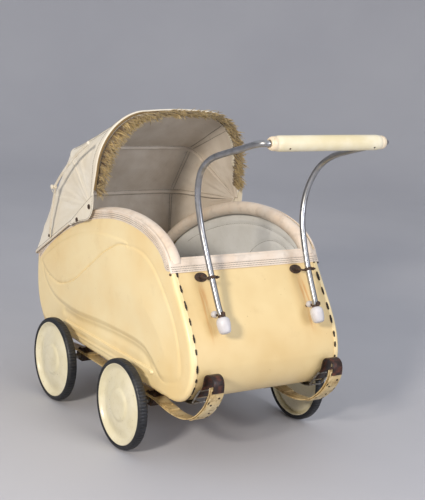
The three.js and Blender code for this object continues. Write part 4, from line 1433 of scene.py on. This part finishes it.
def bow_casings():
    """Cloth casings sewn round each bow wire, and the bound front edge and hem."""
    laps = (
        ("back", BACK_BOW, HEM, MIDDLE_BOW, "back_bow", CASING, 10, 210),
        ("middle", MIDDLE_BOW, BACK_BOW, FRONT_BOW, "middle_bow", CASING, 10, 190),
        ("front", FRONT_BOW, MIDDLE_BOW, None, "front_bow", FRONT_BINDING, 9, 230),
        ("hem", HEM, None, BACK_BOW, "pram_body", HEM_BINDING, 5, 260),
    )
    for name, bow, lower, upper, body, section, outer, count in laps:
        t = even_t(bow, count, 0.03)
        rings = lapped(bow, lower, upper, t, section)
        girth = np.concatenate([[0], np.cumsum(np.linalg.norm(np.diff(rings[count // 2], axis=0), axis=1))])
        uv = np.stack(np.meshgrid(girth, np.linspace(0, length_of(bow_line(bow, t)), count)), -1) * MM
        coat = [0] * len(section) if name == "front" else [0] * outer + [1] * (len(section) - outer)
        casing = Shape().grid(rings, around=True, coat=coat, uv=uv, caps=True)
        replaced = [f"hood_bow_{name}"] if name != "hem" else []
        casing = casing.piece(
            f"hood_{name}_casing", [HOOD_OUTSIDE, HOOD_INSIDE], body, replaced, "hood_cloth", smooth=70
        )
        stitching = Shape()
        rows = {"front": ((-20, 1.2), (-28, -3.1), (-14, -3.5)), "hem": ((8, 1.15), (8, -3))}
        for distance, height in rows.get(name, ((-7.4, -3.1), (7.4, -3.1))):
            ring = lapped(bow, lower, upper, t, [(distance, height), (distance, height * 1.5)])
            sewn(stitching, ring[:, 0], unit(ring[:, 1] - ring[:, 0]), radius=0.5)
        stitching = stitching.piece(f"hood_{name}_casing_stitching", THREAD, body, slot="hood_cloth")


bow_casings()


def fringe():
    """A worsted fringe sewn round the front edge: tufts of cut strands that stand out and droop."""
    rng = random.Random(41)
    a = math.radians(FRONT_BOW["deg"])
    forward = np.array((0, -math.sin(a), math.cos(a)))
    strands = Shape()
    sides = circle(1, 3)
    tufts = 300
    t = even_t(FRONT_BOW, tufts, 0.1)
    rim = bow_line(FRONT_BOW, t)
    tangent = unit(np.gradient(rim, axis=0))
    normal = unit(np.cross(forward, tangent))
    for k in range(tufts):
        lean = rng.gauss(0, 0.24)
        corner = math.exp(-(((t[k] - 0.29) / 0.07) ** 2))
        rise = 0.30 * max(normal[k][2], 0) ** 2 - 0.55 * corner - 0.12 * (t[k] < 0.3) + rng.gauss(0, 0.10)
        long = 43 * (1 + 0.12 * wobble((k * 3.0, 0, 0), 40, 6)) * rng.uniform(0.86, 1.06)
        tone = rng.gauss(0.5, 0.26)
        for _ in range(8):
            back = rng.uniform(-9, 2)
            root = rim[k] + tangent[k] * rng.uniform(-2, 2) + normal[k] * rng.uniform(-12, -9.5 + back)
            root = root + normal[k] * 1.5 + forward * back
            aim = forward + tangent[k] * (lean + rng.gauss(0, 0.16)) + normal[k] * (rise + rng.gauss(0, 0.13))
            aim = unit(aim)
            reach = long * rng.uniform(0.7, 1.06)
            bend = np.array((0, 0, -1)) * rng.uniform(2, 7) + tangent[k] * rng.gauss(0, 4)
            curl = normal[k] * rng.gauss(0, 1.8)
            along = np.linspace(0, 1, 6)
            path = root + aim * reach * along[:, None] + bend * along[:, None] ** 2
            path = path + curl * np.sin(along * math.pi)[:, None]
            across = unit(np.cross(aim, normal[k]))
            above = np.cross(aim, across)
            sizes = np.array((0.8, 1.05, 1.1, 1.0, 0.75, 0.2))
            rings = path[:, None] + sizes[:, None, None] * (sides[:, :1] * across + sides[:, 1:] * above)
            shade = min(max(tone + rng.gauss(0, 0.18), 0), 1)
            uv = np.stack([np.full((6, 3), shade), np.repeat(along[:, None], 3, 1)], -1)
            strands.grid(rings, around=True, uv=uv)
    heading = rim + normal * -3.8 + forward * 4.2
    # the heading's run of 0.25 gives it part of the painted root shade
    strands.tube(heading, 3.4, 10, uv=(0.35, 0.25))
    return strands.piece(
        "hood_fringe_strands", YARN, "front_bow", ["hood_fringe"], "fringe_yarn", smooth=180, closed=False
    )


FRINGE = fringe()


def front_tacks():
    nails = Shape()
    for t_at in (0.30, 0.70):
        t = np.array((t_at - 0.002, t_at, t_at + 0.002))
        ring = lapped(FRONT_BOW, MIDDLE_BOW, None, t, [(-21, -3.2), (-21, -4.2)])
        nails.dome(ring[1, 0], unit(ring[1, 1] - ring[1, 0]), 2.4, 1.4)
    nails.piece("hood_front_tacks", RUST, "front_bow", slot="rusted_steel")


front_tacks()


PATCH = [
    (139, 575), (138, 553), (140, 534), (151, 514), (170, 501), (202, 492), (240, 479), (258, 470),
    (268, 471), (264, 479), (232, 504), (200, 529), (169, 553),
]


def pivot_patches():
    """Stiffened cloth corners over the hood's pivots, snapped to the side of the tub."""
    outline = spline(np.array([*PATCH, PATCH[0]]), 120)[:-1]
    heart = np.array((184, 522))
    seam = heart + (outline - heart) * 0.91
    for side, sign in SIDES:
        rows = np.array([heart + (outline - heart) * r for r in np.linspace(0.02, 1, 26)])
        swell = np.array([[0.5 * wobble((0, *p), 22, 4.4) for p in row] for row in rows])
        edge = np.linspace(1, 0, 26)[:, None]
        x = 228.2 + np.minimum(1, edge * 6) * (0.5 + swell)
        face = np.dstack([sign * x, rows[..., 0], rows[..., 1]])
        back = np.column_stack([np.full(len(outline), sign * 227.4), outline])
        grid = np.vstack([face, back[None]])
        patch = Shape().grid(grid, around=True, caps=True, uv=np.dstack([grid[..., 1], grid[..., 2]]) * MM)
        patch = patch.piece(f"hood_pivot_patch_{side}", HOOD_OUTSIDE, "pram_body", slot="hood_cloth")
        thread = sewn(Shape(), at_x(seam, sign * 228.8), np.tile((sign, 0, 0), (len(seam), 1)), radius=0.45)
        thread = thread.piece(f"hood_pivot_stitching_{side}", THREAD, "pram_body", slot="hood_cloth")
        fittings = Shape()
        eyelet = [(6.4, 0), (6.6, 1.2), (5.4, 2.0), (4.2, 1.4), (3.8, 0.3), (3.4, 0.1), (0.3, 0.1)]
        hole = (0, 158, 538)
        fittings.lathe([(r, 228.9 + d) for r, d in eyelet], hole, sign, 28, caps=True)
        # An almost black disc in the eyelet: painted shade for the dark of the open hole.
        fittings.lathe([(4.6, 229.4), (4.4, 229.8), (0.3, 229.8)], hole, sign, 20, coat=1, caps=True)
        stud = [(5.6, 0), (5.9, 1.0), (5.0, 2.2), (3.4, 2.6), (3.0, 2.1), (1.6, 2.3), (0.3, 2.5)]
        fittings.lathe([(r, 228.9 + d) for r, d in stud], (0, 222, 492), sign, 28, caps=True)
        fittings.piece(f"hood_pivot_fittings_{side}", [RUST, CHIP_AND_HOLE_SHADE], "pram_body", slot="bare_steel")


pivot_patches()


# ---- hood stays --------------------------------------------------------------------------
STAY_FOOT, STAY_ELBOW, STAY_HEAD = np.array((379, 417)), np.array((353, 556)), np.array((170, 698))
STAY_X = 228


def arched(start, end, bend, reach=5):
    """A shallow arc between two joints, a little past each."""
    ahead = unit(end - start)
    out = np.array((ahead[1], -ahead[0]))
    k = np.linspace(-reach, np.linalg.norm(end - start) + reach, 60)
    share = k / np.linalg.norm(end - start)
    return start + ahead * k[:, None] + out * (bend * 4 * share * (1 - share))[:, None]


def stays():
    """Slim arched irons, brush-painted with the hood, jointed at a turned knob."""
    for side, sign in SIDES:
        arms = (
            ("lower", STAY_FOOT, STAY_ELBOW, 6, STAY_X + 1.5),
            ("upper", STAY_ELBOW, STAY_HEAD, 10, STAY_X + 4.9),
        )
        for part, start, end, bend, x in arms:
            line = arched(start, end, bend)
            arm = Shape().bar(at_x(line, sign * x), 3, 8, (1, 0, 0), bevel=1)
            for spot in (start, end):
                eye = [(0.3, -1.7), (5.4, -1.6), (6, -1.1), (6, 1.1), (5.4, 1.6), (0.3, 1.7)]
                arm.lathe([(r, x + d) for r, d in eye], (0, *spot), sign, 28, caps=True)
            arm.piece(
                f"stay_iron_{part}_{side}", STAY_PAINT, f"stay_{side}_{part}", [f"stay_{part}_{side}"],
                "painted_stay",
            )
        fittings = Shape()
        knob = [
            (0.3, 1.6), (4.4, 1.7), (4.2, 3.4), (3.4, 4.2), (3.6, 5.2), (5.6, 6.2), (6.4, 8), (5.8, 9.8),
            (3.6, 11), (0.3, 11.4),
        ]
        fittings.lathe([(r, STAY_X + 4.9 + d) for r, d in knob], (0, *STAY_ELBOW), sign, 32, caps=True)
        fittings.dome((sign * (STAY_X + 6.4), *STAY_HEAD), (sign, 0, 0), 4.6, 2.6)
        loop = circle(6.5, 30)
        hung = STAY_ELBOW - (0, 8.5)
        ring = [(sign * (STAY_X + 9.2 + 0.10 * b), hung[0] + a, hung[1] + b) for a, b in loop]
        fittings.tube([*ring, ring[0]], 0.9, 8)
        fittings.piece(f"stay_knob_{side}", STAY_PAINT, f"stay_{side}_upper", slot="painted_stay")
        foot = Shape().dome((sign * (STAY_X + 3), *STAY_FOOT), (sign, 0, 0), 4.6, 2.6)
        foot.piece(f"stay_foot_rivet_{side}", RUST, f"stay_{side}_lower", slot="rusted_steel")


stays()


# ---- floor and clamps --------------------------------------------------------------------
def floor_lining():
    """Glazed cotton laid over the floor board, slack and slightly rucked."""
    x, y = np.meshgrid(np.linspace(-204, 204, 70), np.linspace(-262, 392, 110))
    rucks = [1.6 * wobble((a, b, 0), 60, 2.5) for a, b in zip(x.ravel(), y.ravel())]
    z = FLOOR_Z + 4.2 + np.array(rucks).reshape(x.shape)
    cloth = Shape().grid(np.dstack([x, y, z]), uv=np.dstack([x, y]) * MM)
    cloth = cloth.piece("floor_lining_cloth", LINING, "pram_body", slot="lining_cloth", closed=False)
    thickened(cloth, 1.2, -1)


def kept_solids():
    """The drawing's own solids that stay: the pressed floor and the forged axle saddles."""
    clamps = [(f"axle_clamp_{end}_{side}", RUST) for end, _ in ENDS for side, _ in SIDES]
    # the floor pan takes the darker cream, painted shade
    for name, finish in [("floor_pan", END_ENAMEL_PAINTED_SHADE), *clamps]:
        solid = bpy.data.objects[name]
        for k in range(len(solid.material_slots)):
            solid.material_slots[k].link = "OBJECT"
            solid.material_slots[k].material = finish
        edge = solid.modifiers.new("broken edges", "BEVEL")
        edge.width = 0.9 * MM
        edge.segments = 3
        edge.limit_method = "ANGLE"


floor_lining()
kept_solids()
